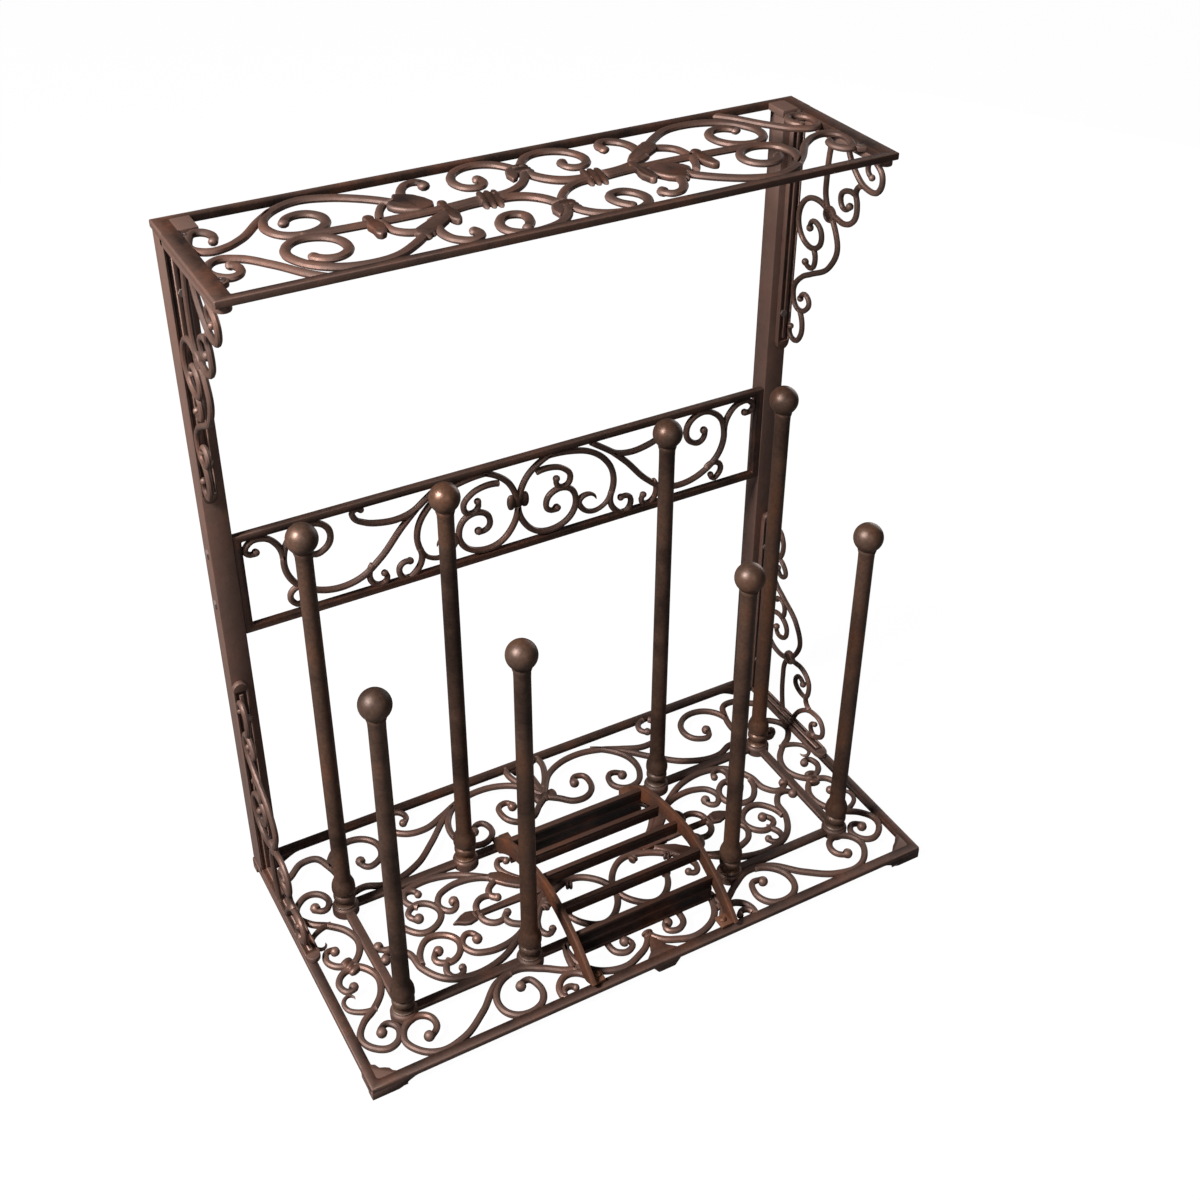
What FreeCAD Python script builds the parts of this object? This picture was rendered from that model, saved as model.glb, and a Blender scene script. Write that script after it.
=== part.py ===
# Boot rack of cast iron: a scroll-work base that carries eight ball-topped boot posts and a boot
# scraper, two uprights with a scroll-work panel between them, and a scroll-work shelf held up by two
# corner brackets. The same bracket casting, upside down, braces the uprights on the base.
#
# Millimetres, +Z up. X runs across the rack, +Y points to its back, and the origin lies on the floor
# under the middle of the base.
import FreeCAD, Part
import math
import os

import Sketcher

Vector = FreeCAD.Vector
UP = Vector(0, 0, 1)

# Driving sizes: name, value and what it is.
SIZES = [
    ("rack_width", 600, "overall width of base and shelf"),
    ("base_depth", 316, "front to back size of the base"),
    ("rack_height", 704, "floor to shelf top"),
    ("foot_height", 8, "gap under the base rails"),
    ("foot_length", 26, "side of a corner foot"),
    ("rail_width", 10, "border rail of the base, seen from above"),
    ("rail_thickness", 6.2, "base casting, top to bottom"),
    ("base_scroll_width", 7, "scroll rods of the base"),
    ("bar_width", 10, "cross bars that join the post bosses"),
    ("boss_diameter", 26, "boss under each boot post"),
    ("boss_lift", 4, "gap under a boss"),
    ("boss_rise", 2.8, "boss above the base casting"),
    ("post_outer", 241, "outer boot posts, from the middle"),
    ("post_inner", 112, "inner boot posts, from the middle"),
    ("post_row_back", 53, "back row of boot posts"),
    ("post_row_front", -91, "front row of boot posts"),
    ("post_foot_diameter", 16.4, "boot post at its collar"),
    ("post_top_diameter", 15, "boot post under its ball"),
    ("collar_diameter", 23, "turned collar of a post"),
    ("collar_lift", 12, "neck between boss and collar"),
    ("collar_length", 19, "turned collar, along the post"),
    ("ball_diameter", 28, "ball on a boot post"),
    ("back_post_length", 446, "back row, boss to ball top"),
    ("front_post_length", 375, "front row, boss to ball top"),
    ("nut_size", 11, "hexagon under each post, across its corners"),
    ("nut_thickness", 3, "hexagon under each post"),
    ("upright_width", 21, "upright bar, across the rack"),
    ("upright_depth", 22, "upright bar, front to back"),
    ("upright_inset", 1.5, "upright's outer face, in from the base's side"),
    ("upright_chamfer", 3.5, "moulded front edges of an upright"),
    ("panel_bottom", 304.5, "floor to the back panel"),
    ("panel_height", 106, "back panel, bottom to top"),
    ("panel_thickness", 7, "back panel casting"),
    ("panel_rail", 7, "border rail of the back panel"),
    ("panel_scroll_width", 6, "scroll rods of the back panel"),
    ("shelf_depth", 162, "front to back size of the shelf"),
    ("shelf_thickness", 6.5, "shelf casting"),
    ("shelf_rail", 7.5, "front and back rails of the shelf"),
    ("shelf_end", 15, "plain strip at each end of the shelf"),
    ("shelf_corner", 30, "wide corner over each upright"),
    ("shelf_scroll_width", 7, "thin scroll rods of the shelf"),
    ("shelf_curl_width", 8.6, "thick scroll rods of the shelf"),
    ("bracket_reach", 138, "bracket, upright to tip"),
    ("bracket_drop", 243, "bracket, along the upright"),
    ("strap_width", 14, "bracket straps"),
    ("strap_thickness", 6, "bracket straps"),
    ("web_thickness", 5.5, "scroll web of a bracket"),
    ("bracket_scroll_width", 5.6, "scroll rods of a bracket"),
    ("cheek_gap", 151, "clear width between the scraper's cheeks"),
    ("cheek_thickness", 5, "scraper cheek"),
    ("cheek_strap", 17, "arched strap of a cheek"),
    ("cheek_rise", 52, "cheek above the base casting"),
    ("blade_thickness", 5, "scraper blades and end plates"),
    ("blade_height", 14, "scraper blades"),
    ("blade_1_setback", 65, "rear blade, from the back row of posts"),
    ("blade_2_setback", 101, "middle blade, from the back row of posts"),
    ("blade_3_setback", 144, "front blade, from the back row of posts"),
    ("blade_1_drop", 28, "rear blade's foot, below the top of the cheeks"),
    ("blade_2_drop", 20, "middle blade's foot, below the top of the cheeks"),
    ("blade_3_drop", 19, "front blade's foot, below the top of the cheeks"),
    ("rear_plate_setback", 30, "rear plate, from the back row of posts"),
    ("front_plate_setback", 24, "front plate, from the front row of posts"),
    ("plate_height", 31, "end plates of the scraper"),
    ("bolt_size", 9, "hexagon bolt heads, across corners"),
    ("bolt_head", 1.5, "bolt and screw heads, thickness"),
    ("screw_size", 7.5, "bracket screw heads, across corners"),
]

doc = FreeCAD.newDocument("boot_rack")
sheet = doc.addObject("Spreadsheet::Sheet", "sizes")
for line, (alias, value, meaning) in enumerate(SIZES, start=1):
    sheet.set(f"A{line}", alias)
    sheet.set(f"B{line}", str(value))
    sheet.set(f"C{line}", meaning)
    sheet.setAlias(f"B{line}", alias)
doc.recompute()


def size(alias):
    """A driving size, read from the sheet."""
    return float(getattr(sheet, alias))


def worked_out(expression):
    """The present value of an expression on the sheet."""
    value = sheet.evalExpression(expression)
    return float(getattr(value, "Value", value))


# ---------------------------------------------------------------- scroll rods
# A scroll is drawn as a few points that its rod passes through. Tangent arcs join them, and the
# outline follows the arcs in short straight steps, as a hammered rod does. That keeps the many
# scrolls of a casting light.
STEP_TURN = math.radians(48)
STEP_SAG = 0.9
STEP_SHORTEST = 1.5
FINE_TURN = math.radians(3)
ROUND_SIDES = 10


def circle_heading(a, b, c, here):
    """Direction, at point `here` of three, of the circle through a, b and c."""
    (ax, ay), (bx, by), (cx, cy) = a, b, c
    turn = 2 * (ax * (by - cy) + bx * (cy - ay) + cx * (ay - by))
    if abs(turn) < 1e-9:
        return math.atan2(cy - ay, cx - ax)
    aa, bb, cc = ax * ax + ay * ay, bx * bx + by * by, cx * cx + cy * cy
    middle_x = (aa * (by - cy) + bb * (cy - ay) + cc * (ay - by)) / turn
    middle_y = (aa * (cx - bx) + bb * (ax - cx) + cc * (bx - ax)) / turn
    side = math.copysign(1, turn)
    x, y = (a, b, c)[here]
    return math.atan2(side * (x - middle_x), -side * (y - middle_y))


def headings(points):
    """Direction of a scroll at each of its points, from the points beside it."""
    if len(points) == 2:
        (ax, ay), (bx, by) = points
        return [math.atan2(by - ay, bx - ax)] * 2
    found = []
    for index in range(len(points)):
        first = min(max(index - 1, 0), len(points) - 3)
        found.append(circle_heading(*points[first:first + 3], index - first))
    return found


def meeting_point(start, start_heading, end, end_heading):
    """Where two tangent arcs meet that leave `start` and reach `end` in the given directions."""
    away_x, away_y = math.cos(start_heading), math.sin(start_heading)
    into_x, into_y = math.cos(end_heading), math.sin(end_heading)
    chord_x, chord_y = end[0] - start[0], end[1] - start[1]
    chord = chord_x ** 2 + chord_y ** 2
    forward = chord_x * (away_x + into_x) + chord_y * (away_y + into_y)
    spread = 2 * (1 - away_x * into_x - away_y * into_y)
    if spread < 1e-6:
        reach = chord / (4 * (chord_x * into_x + chord_y * into_y))
    else:
        reach = (math.sqrt(forward ** 2 + spread * chord) - forward) / spread
    return ((start[0] + end[0] + reach * (away_x - into_x)) / 2,
            (start[1] + end[1] + reach * (away_y - into_y)) / 2)


def arcs_through(points):
    """The tangent arcs of a scroll, each as start, end, first heading and turn."""
    arcs = []
    ways = headings(points)
    for index in range(len(points) - 1):
        start, end = points[index], points[index + 1]
        middle = meeting_point(start, ways[index], end, ways[index + 1])
        heading = ways[index]
        for one, other in ((start, middle), (middle, end)):
            chord = math.atan2(other[1] - one[1], other[0] - one[0])
            turn = 2 * math.remainder(chord - heading, 2 * math.pi)
            arcs.append((one, other, heading, turn))
            heading += turn
    return arcs


def stations(points):
    """Places and headings along a scroll, close enough for straight steps between them."""
    arcs = arcs_through(points)
    place, heading = arcs[0][0], arcs[0][2]
    found = [(place, heading)]
    turned = length = 0
    for start, end, first_heading, turn in arcs:
        pieces = max(1, math.ceil(abs(turn) / FINE_TURN))
        chord = math.atan2(end[1] - start[1], end[0] - start[0])
        reach = math.dist(start, end)
        for piece in range(1, pieces + 1):
            part = turn * piece / pieces
            share = math.sin(part / 2) / math.sin(turn / 2) if abs(turn) > 1e-6 else piece / pieces
            way = chord - turn / 2 + part / 2
            place = (start[0] + reach * share * math.cos(way), start[1] + reach * share * math.sin(way))
            heading = first_heading + part
            turned += abs(turn) / pieces
            length = math.dist(place, found[-1][0])
            if turned >= STEP_TURN or turned * length / 8 >= STEP_SAG:
                found.append((place, heading))
                turned = 0
    if math.dist(found[-1][0], place) < STEP_SHORTEST and len(found) > 2:
        found.pop()
    found.append((place, heading))
    return found


def beside(point, heading, offset):
    """The point `offset` to the left of a rod's line."""
    return point[0] - offset * math.sin(heading), point[1] + offset * math.cos(heading)


def rod_face(points, width):
    """The outline of a flat rod of even width along a scroll, as a face."""
    line = stations(points)
    left = [beside(place, heading, width / 2) for place, heading in line]
    right = [beside(place, heading, -width / 2) for place, heading in line]
    return polygon_face(left + right[::-1])


def disc_face(x, y, radius):
    """A round boss, knot or ball end, as a face of ROUND_SIDES sides."""
    turns = [2 * math.pi * side / ROUND_SIDES for side in range(ROUND_SIDES)]
    return polygon_face([(x + radius * math.cos(turn), y + radius * math.sin(turn)) for turn in turns])


def slab_face(x_low, x_high, y_low, y_high):
    """A rectangle, as a face."""
    return polygon_face([(x_low, y_low), (x_high, y_low), (x_high, y_high), (x_low, y_high)])


def polygon_face(corners):
    """A straight-sided outline, as a face that looks up."""
    points = [Vector(x, y, 0) for x, y in corners]
    face = Part.Face(Part.makePolygon(points + points[:1]))
    if face.normalAt(0, 0).z < 0:
        face = Part.Face(Part.makePolygon(points[::-1] + points[-1:]))
    return face


def casting(faces, thickness):
    """One flat casting of overlapping outlines."""
    blocks = faces[0].multiFuse(faces[1:]).removeSplitter().extrude(UP * thickness).Solids
    if len(blocks) == 1:
        return blocks[0]
    return blocks[0].multiFuse(blocks[1:]).removeSplitter()


def turned(profile):
    """A turned solid with ROUND_SIDES flat sides, from (radius, height) pairs, bottom to top."""
    turns = [2 * math.pi * side / ROUND_SIDES for side in range(ROUND_SIDES)]
    rings = [[Vector(radius * math.cos(turn), radius * math.sin(turn), height) for turn in turns]
             for radius, height in profile]
    outlines = [rings[0][::-1], rings[-1]]
    for low, high in zip(rings, rings[1:]):
        for side in range(ROUND_SIDES):
            before = side - 1
            outlines.append([low[before], low[side], high[side], high[before]])
    faces = [Part.Face(Part.makePolygon(outline + outline[:1])) for outline in outlines]
    shell = Part.Shell(faces)
    shell.sewShape()
    return Part.Solid(shell)


def stood(shape, drawn_x, drawn_y, drawn_z):
    """A shape turned so that its drawn axes point the given ways."""
    shape.Placement = FreeCAD.Placement(Vector(), FreeCAD.Rotation(drawn_x, drawn_y, drawn_z, "XYZ"))
    return shape


def along(marks, value):
    """Carries a drawn place to its real one, in proportion between the marks beside it."""
    for (drawn_a, real_a), (drawn_b, real_b) in zip(marks, marks[1:]):
        if value <= drawn_b or (drawn_b, real_b) == marks[-1]:
            share = (value - drawn_a) / (drawn_b - drawn_a)
            return real_a + share * (real_b - real_a)


def both_sides(points):
    """A scroll and its twin across the middle of the rack."""
    return [points, [(-x, y) for x, y in points]]


# ---------------------------------------------------------------- base casting
# The scrolls are drawn on a base 600 wide and 316 deep, with its post rows at -91 and 53.
# The left half is drawn; those of the medallion are mirrored about its stem as well.
STEM_Y = -19
SCROLL_LAP = 0.4
SIDE_AND_MEDALLION = [
    [(-268, -103), (-262, -96), (-254, -102), (-255, -114), (-267, -122), (-280, -116),
     (-287, -101), (-279, -86), (-264, -75), (-251, -60), (-247, -42), (-253, -28), (-262, -20)],
    [(-262, -76), (-277, -73), (-285, -63), (-283, -53), (-276, -49), (-273, -56)],
    [(-268, -22), (-279, -28), (-281, -38), (-275, -46), (-270, -42)],
    [(-233, -28), (-229, -22), (-222, -21), (-211, -31), (-207, -53), (-188, -78), (-167, -84),
     (-138, -80), (-108, -62), (-86, -43), (-63, -26)],
    [(-185, -42), (-192, -49), (-183, -59), (-166, -51), (-163, -40), (-173, -26), (-187, -23),
     (-200, -34), (-205, -50)],
    [(-184, -80), (-175, -77), (-170, -68)],
    [(-178, -59), (-184, -70), (-187, -80)],
    [(-146, -46), (-150, -36), (-160, -42), (-157, -58), (-144, -65), (-126, -65), (-109, -58)],
    [(-95, -50), (-107, -43), (-112, -36), (-106, -31)],
    [(-60, -28), (-76, -51), (-85, -65), (-81, -74), (-73, -70)],
    [(-131, -21), (-128, -32), (-119, -37), (-111, -35), (-106, -30)],
]
BASE_SCROLLS = [
    [(-232, -127), (-224, -124), (-221, -113), (-231, -102), (-244, -105), (-253, -118),
     (-246, -137), (-230, -147), (-206, -144), (-178, -126), (-151, -102), (-128, -98),
     (-108, -108), (-86, -122), (-76, -124)],
    [(-135, -117), (-127, -113), (-120, -124), (-124, -141), (-141, -148), (-158, -140),
     (-162, -124), (-153, -107), (-137, -99)],
    [(-105, -150), (-102, -132), (-90, -126), (-78, -132), (-74, -150)],
    [(-104, -146), (-98, -139), (-91, -143)],
    [(-82, -127), (-81, -111), (-76, -94)],
    [(-292, 110), (-278, 114), (-258, 128), (-245, 127), (-237, 112), (-236, 70)],
    [(-236, 107), (-228, 124), (-212, 133), (-193, 130), (-182, 115), (-190, 94), (-203, 92),
     (-206, 102)],
    [(-236, 60), (-216, 68), (-198, 61), (-157, 71), (-133, 91), (-104, 119), (-92, 127)],
    [(0, 96), (6, 106), (18, 122), (38, 133), (62, 136), (88, 130), (107, 121), (131, 112),
     (152, 116), (164, 131), (158, 148)],
    [(152, 150), (143, 145), (142, 135), (147, 131)],
    [(77, 136), (96, 123), (108, 104), (107, 80), (96, 66), (78, 67), (71, 79), (80, 92),
     (88, 84)],
    [(0, 94), (11, 86), (25, 74), (40, 74), (52, 90), (48, 105), (39, 105), (37, 98)],
    [(3, 106), (15, 125), (20, 144), (19, 152)],
    [(74, -42), (50, -26), (29, -22), (9, -35), (0, -54)],
    [(0, -54), (9, -76), (29, -88), (49, -76), (56, -60)],
    [(0, -120), (10, -133), (21, -139), (36, -144), (51, -142), (71, -128), (77, -113),
     (77, -94)],
    [(35, -90), (40, -110), (36, -126), (26, -129), (19, -122), (24, -117)],
]
SPEAR = [(-158, STEM_Y), (-143, STEM_Y - 8), (-131, STEM_Y - 3), (-78, STEM_Y - 4.5),
         (-78, STEM_Y + 4.5), (-131, STEM_Y + 3), (-143, STEM_Y + 8)]
SIDE_COLLAR = [(-271, STEM_Y - 9), (-258, STEM_Y - 9), (-258, STEM_Y + 9), (-271, STEM_Y + 9)]
BACK_COLLAR = [(-12, 89), (12, 89), (12, 101), (-12, 101)]
FRONT_WEB = [(-22, -153), (-4, -132), (-4, -116), (4, -116), (4, -132), (22, -153)]
BACK_STEM = [(-4, 95), (4, 95), (4, 153), (-4, 153)]
FRONT_GUSSET = [(300, -158), (300, -124), (282, -128), (274, -131), (268, -136), (262, -146),
                (260, -158)]
half_width = size("rack_width") / 2
half_depth = size("base_depth") / 2
base_top = size("foot_height") + size("rail_thickness")


def base_marks():
    """Drawn places across and along the base with their real ones: middle, posts, rails and edges.

    Beside a rail the mark is where the middle of a scroll rod lies that touches it.
    """
    touch_x = half_width - size("rail_width") - (size("base_scroll_width") - SCROLL_LAP) / 2
    inner_y = half_depth - size("rail_width")
    across = [(0, 0), (112, size("post_inner")), (241, size("post_outer")), (287, touch_x),
              (300, half_width)]
    deep = [(-158, -half_depth), (-148, -inner_y), (-91, size("post_row_front")),
            (53, size("post_row_back")), (148, inner_y), (158, half_depth)]
    return across, deep


def base_place(point):
    """Carries a drawn place on the base to its real one."""
    across, deep = base_marks()
    x, y = point
    return math.copysign(along(across, abs(x)), x), along(deep, y)


def post_places():
    """Row name, number and place of each boot post, from the left."""
    columns = (-size("post_outer"), -size("post_inner"), size("post_inner"), size("post_outer"))
    return [(row, number, x, size(f"post_row_{row}"))
            for row in ("back", "front") for number, x in enumerate(columns, start=1)]


def frame_faces(x_out, y_low, y_high, side_width, rail_width):
    """Four border rails."""
    return [slab_face(-x_out, -x_out + side_width, y_low, y_high),
            slab_face(x_out - side_width, x_out, y_low, y_high),
            slab_face(-x_out, x_out, y_low, y_low + rail_width),
            slab_face(-x_out, x_out, y_high - rail_width, y_high)]


def upright_span():
    """Inner and outer faces of the right-hand upright."""
    outer = half_width - size("upright_inset")
    return outer - size("upright_width"), outer


def base_bars():
    """The bars between the post bosses, which also carry the back feet of the scraper."""
    half_bar = size("bar_width") / 2
    x = size("post_outer")
    front, back = size("post_row_front"), size("post_row_back")
    return [slab_face(-x, x, front - half_bar, front + half_bar),
            slab_face(-x, x, back - half_bar, back + half_bar),
            slab_face(-x - half_bar, -x + half_bar, front, back),
            slab_face(x - half_bar, x + half_bar, front, back)]


def make_base():
    """The base: border rails, scroll-work, bars, bosses and feet, cast in one."""
    upper = [[(x, 2 * STEM_Y - y) for x, y in points] for points in SIDE_AND_MEDALLION]
    scrolls = [twin for points in SIDE_AND_MEDALLION + upper + BASE_SCROLLS
               for twin in both_sides(points)]
    width = size("base_scroll_width")
    faces = frame_faces(half_width, -half_depth, half_depth, size("rail_width"), size("rail_width"))
    faces += base_bars()
    faces += [rod_face([base_place(p) for p in points], width) for points in scrolls]
    for outline in (SPEAR, SIDE_COLLAR, FRONT_GUSSET):
        faces += [polygon_face([base_place(p) for p in twin]) for twin in both_sides(outline)]
    for outline in (BACK_COLLAR, FRONT_WEB, BACK_STEM):
        faces.append(polygon_face([base_place(p) for p in outline]))
    inner_face, _ = upright_span()
    seat = half_depth - size("upright_depth")
    faces += [slab_face(-half_width, -inner_face, seat, half_depth),
              slab_face(inner_face, half_width, seat, half_depth)]
    plate = casting(faces, size("rail_thickness"))
    plate.translate(UP * size("foot_height"))
    boss_height = base_top + size("boss_rise") - size("boss_lift")
    bosses = [disc_face(x, y, size("boss_diameter") / 2).extrude(UP * boss_height)
              for _, _, x, y in post_places()]
    for boss in bosses:
        boss.translate(UP * size("boss_lift"))
    foot, rail, tall = size("foot_length"), size("rail_width"), size("foot_height")
    feet = [Part.makeBox(foot, rail, tall, Vector(x, y, 0))
            for x in (-half_width, -foot / 2, half_width - foot) for y in (-half_depth, half_depth - rail)]
    return plate.multiFuse(bosses + feet).removeSplitter()


# ---------------------------------------------------------------- back panel
# Drawn between uprights 555 apart, from 304.5 to 410.5 above the floor; X and Z.
PANEL_SCROLLS = [
    [(0, 358), (3, 370), (10, 384), (22, 395), (36, 402)],
    [(20, 386), (35, 387), (49, 382), (57, 371), (53, 362), (44, 363), (42, 372)],
    [(0, 354), (6, 333), (21, 318), (41, 316), (58, 326), (63, 341), (56, 357), (42, 360),
     (31, 351), (33, 339), (42, 338)],
    [(32, 401), (57, 399), (77, 393), (94, 380), (104, 362), (104, 341), (95, 326), (82, 322),
     (70, 329), (67, 340), (76, 344), (86, 335)],
    [(80, 402), (95, 391), (107, 382), (127, 376), (152, 381), (172, 403)],
    [(104, 384), (119, 369), (143, 341), (163, 326), (186, 322), (208, 328), (229, 347),
     (234, 368), (224, 393), (203, 400), (189, 387), (194, 370), (206, 367), (210, 378)],
    [(234, 372), (238, 388), (250, 399), (263, 398), (267, 389), (258, 386)],
    [(104, 340), (102, 326), (107, 316), (116, 309)],
    [(117, 309), (125, 317), (123, 327), (114, 328)],
    [(145, 309), (136, 315), (135, 322)],
    [(145, 338), (150, 328), (149, 308)],
    [(219, 335), (229, 322), (230, 308)],
]
PANEL_COLLAR = [(-11, 351), (11, 351), (11, 368), (-11, 368)]


def make_panel():
    """The scroll-work panel between the uprights, drawn flat and then stood up."""
    inner_face, _ = upright_span()
    low, high = size("panel_bottom"), size("panel_bottom") + size("panel_height")
    rail = size("panel_rail")
    across = [(0, 0), (270.5, inner_face - rail), (277.5, inner_face)]
    up = [(304.5, low), (311.5, low + rail), (403.5, high - rail), (410.5, high)]

    def place(point):
        return math.copysign(along(across, abs(point[0])), point[0]), along(up, point[1])

    faces = frame_faces(inner_face, low, high, rail, rail)
    faces.append(polygon_face([place(p) for p in PANEL_COLLAR]))
    for points in PANEL_SCROLLS:
        faces += [rod_face([place(p) for p in twin], size("panel_scroll_width"))
                  for twin in both_sides(points)]
    plate = casting(faces, size("panel_thickness"))
    plate.rotate(Vector(), Vector(1, 0, 0), 90)
    plate.translate(Vector(0, upright_front() + 1 + size("panel_thickness"), 0))
    return plate


def upright_front():
    """Front face of the uprights."""
    return half_depth - size("upright_depth")


# ---------------------------------------------------------------- top shelf
# Drawn on a shelf 600 wide that reaches from -4 to 158 in Y.
SHELF_SCROLLS = [
    [(-212, 134), (-225, 121), (-249, 94), (-262, 86), (-275, 84), (-285, 92), (-284, 110),
     (-274, 123), (-265, 114), (-267, 102)],
    [(-210, -1), (-222, 12), (-242, 42), (-261, 63), (-274, 68), (-286, 57), (-284, 41),
     (-273, 34), (-265, 43), (-269, 55)],
    [(-129, 104), (-138, 89), (-142, 70), (-138, 53), (-122, 44)],
    [(-109, 111), (-100, 127), (-92, 138), (-87, 152)],
    [(-81, 152), (-82, 137), (-88, 119)],
]
SHELF_THICK_SCROLLS = [
    [(-119, 106), (-141, 127), (-163, 140), (-183, 145), (-203, 139), (-221, 122), (-225, 103),
     (-215, 85), (-195, 82), (-180, 94), (-181, 111), (-195, 119), (-209, 109)],
    [(-116, 44), (-136, 24), (-155, 12), (-177, 9), (-203, 16), (-223, 37), (-227, 53),
     (-213, 73), (-192, 70), (-181, 53), (-185, 36), (-199, 31), (-210, 40)],
    [(-132, 57), (-110, 60), (-89, 68), (-57, 73)],
    [(-94, 63), (-105, 50), (-109, 34), (-103, 17), (-91, 11), (-85, 26)],
    [(-43, 80), (-23, 84), (-10, 94), (0, 112)],
    [(-43, 73), (-25, 71), (-11, 60), (-3, 42)],
    [(-206, 79), (-150, 76), (-96, 76), (-56, 80)],
]
SHELF_CURLS = [
    [(-2, 120), (-9, 137), (-20, 149), (-36, 153), (-53, 143), (-62, 122), (-57, 107),
     (-45, 105), (-38, 117), (-37, 131)],
    [(-2, 36), (-7, 21), (-17, 10), (-33, 4), (-51, 4), (-63, 15), (-61, 32), (-49, 41),
     (-39, 36), (-39, 24), (-46, 13)],
]
SHELF_LEAF = [(-128, 98), (-125, 105), (-119, 108), (-115, 119), (-106, 114), (-100, 109), (-94, 99),
              (-91, 90), (-94, 82), (-107, 78), (-125, 91)]
SHELF_BOW = [(-156, 76), (-155, 62), (-149, 54), (-146, 62), (-145, 76), (-146, 90), (-149, 97),
             (-154, 91)]
SHELF_RING = [(-90, 57), (-83, 55), (-83, 94), (-90, 91)]
SHELF_COLLARS = [[(-59, 59), (-41, 56), (-37, 93), (-55, 96)], [(-10, 110), (10, 110), (10, 127), (-10, 127)],
                 [(-126, 41), (-118, 31), (-107, 39), (-115, 49)]]
SHELF_EARS = [[(-4, 126), (-16, 112), (-15, 101), (-4, 112)], [(-4, 43), (-16, 30), (-15, 19), (-4, 29)]]


def make_shelf():
    """The scroll-work shelf: end strips, rails, scrolls, leaves and collars, cast in one."""
    back = half_depth
    front = back - size("shelf_depth")
    end, rail = size("shelf_end"), size("shelf_rail")
    across = [(0, 0), (285, half_width - end), (300, half_width)]
    deep = [(-4, front), (3.5, front + rail), (150.5, back - rail), (158, back)]

    def place(point):
        return math.copysign(along(across, abs(point[0])), point[0]), along(deep, point[1])

    def turned_too(outlines):
        """Drawn outlines and their twins half a turn about the middle of the shelf."""
        return [[place(p) for p in outline]
                for drawn in outlines for outline in (drawn, [(-x, 154 - y) for x, y in drawn])]

    faces = frame_faces(half_width, front, back, end, rail)
    corner = size("shelf_corner")
    corner_front = upright_front() - size("strap_width")
    for x_low in (-half_width, half_width - corner):
        faces.append(slab_face(x_low, x_low + corner, corner_front, back))
    curls = [[place(p) for p in twin] for points in SHELF_CURLS for twin in both_sides(points)]
    faces += [rod_face(line, size("shelf_scroll_width")) for line in turned_too(SHELF_SCROLLS)]
    faces += [rod_face(line, size("shelf_curl_width"))
              for line in turned_too(SHELF_THICK_SCROLLS) + curls]
    faces += [polygon_face(outline)
              for outline in turned_too([SHELF_LEAF, SHELF_BOW, SHELF_RING] + SHELF_COLLARS)]
    faces += [polygon_face([place(p) for p in ear]) for ear in SHELF_EARS]
    plate = casting(faces, size("shelf_thickness"))
    plate.translate(UP * (size("rack_height") - size("shelf_thickness")))
    return plate


# ---------------------------------------------------------------- brackets
# Drawn from the corner where the straps meet: first out along the horizontal strap, then down.
BRACKET_SCROLLS = [
    [(100, 4), (113, 10), (125, 20), (122, 35), (104, 38), (87, 28), (72, 4)],
    [(112, 10), (105, 15), (105, 22), (111, 26)],
    [(99, 38), (91, 47), (94, 56), (93, 72), (78, 82), (67, 81), (56, 79)],
    [(92, 50), (82, 49), (70, 59), (76, 68), (84, 63)],
    [(55, 80), (48, 66), (47, 48), (52, 4)],
    [(54, 79), (36, 74), (20, 79), (11, 91), (12, 112), (23, 122), (36, 123), (47, 111),
     (41, 98), (30, 98), (28, 105)],
    [(60, 84), (68, 96), (72, 108), (62, 132), (35, 150), (22, 158), (10, 177), (18, 193),
     (32, 189), (36, 179), (28, 174), (22, 181)],
    [(36, 123), (40, 132), (34, 144), (25, 141)],
    [(22, 193), (29, 208), (24, 219), (6, 227)],
    [(29, 211), (34, 214)],
]
BRACKET_KNOT = (56, 81, 8)


def make_bracket(upper):
    """A corner bracket: a strap along the upright, one along the casting it braces, and the web."""
    reach, drop, strap = size("bracket_reach"), size("bracket_drop"), size("strap_thickness")

    out, down = [(0, 0), (6, strap), (138, reach)], [(0, 0), (6, strap), (243, drop)]

    def place(point):
        return along(out, point[0]), along(down, point[1])

    rods = [rod_face([place(p) for p in points], size("bracket_scroll_width"))
            for points in BRACKET_SCROLLS]
    knot_u, knot_v, knot_radius = BRACKET_KNOT
    knot = disc_face(*place((knot_u, knot_v)), knot_radius)
    web = casting(rods + [knot], size("web_thickness"))
    width = size("strap_width")
    straps = [Part.makeBox(reach, strap, width), Part.makeBox(strap, drop, width)]
    shape = web.multiFuse(straps).removeSplitter()
    # Drawn outwards becomes forwards, and drawn down becomes down, or up for a lower bracket. The
    # flat side of the web then faces left on an upper bracket and right on a lower one.
    down = Vector(0, 0, -1 if upper else 1)
    inwards = Vector(1 if upper else -1, 0, 0)
    return stood(shape, Vector(0, -1, 0), down, inwards)


# ---------------------------------------------------------------- document objects
def formed_piece(label, shape, place=None):
    """A piece whose outline no sketch feature fits."""
    piece = doc.addObject("Part::Feature", label)
    piece.Label = label
    piece.Shape = shape
    moved = FreeCAD.Placement(place or Vector(), FreeCAD.Rotation())
    piece.Placement = moved.multiply(shape.Placement)
    return piece


def origin_plane(body, role):
    return next(plane for plane in body.Origin.OriginFeatures if plane.Role == role)


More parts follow.
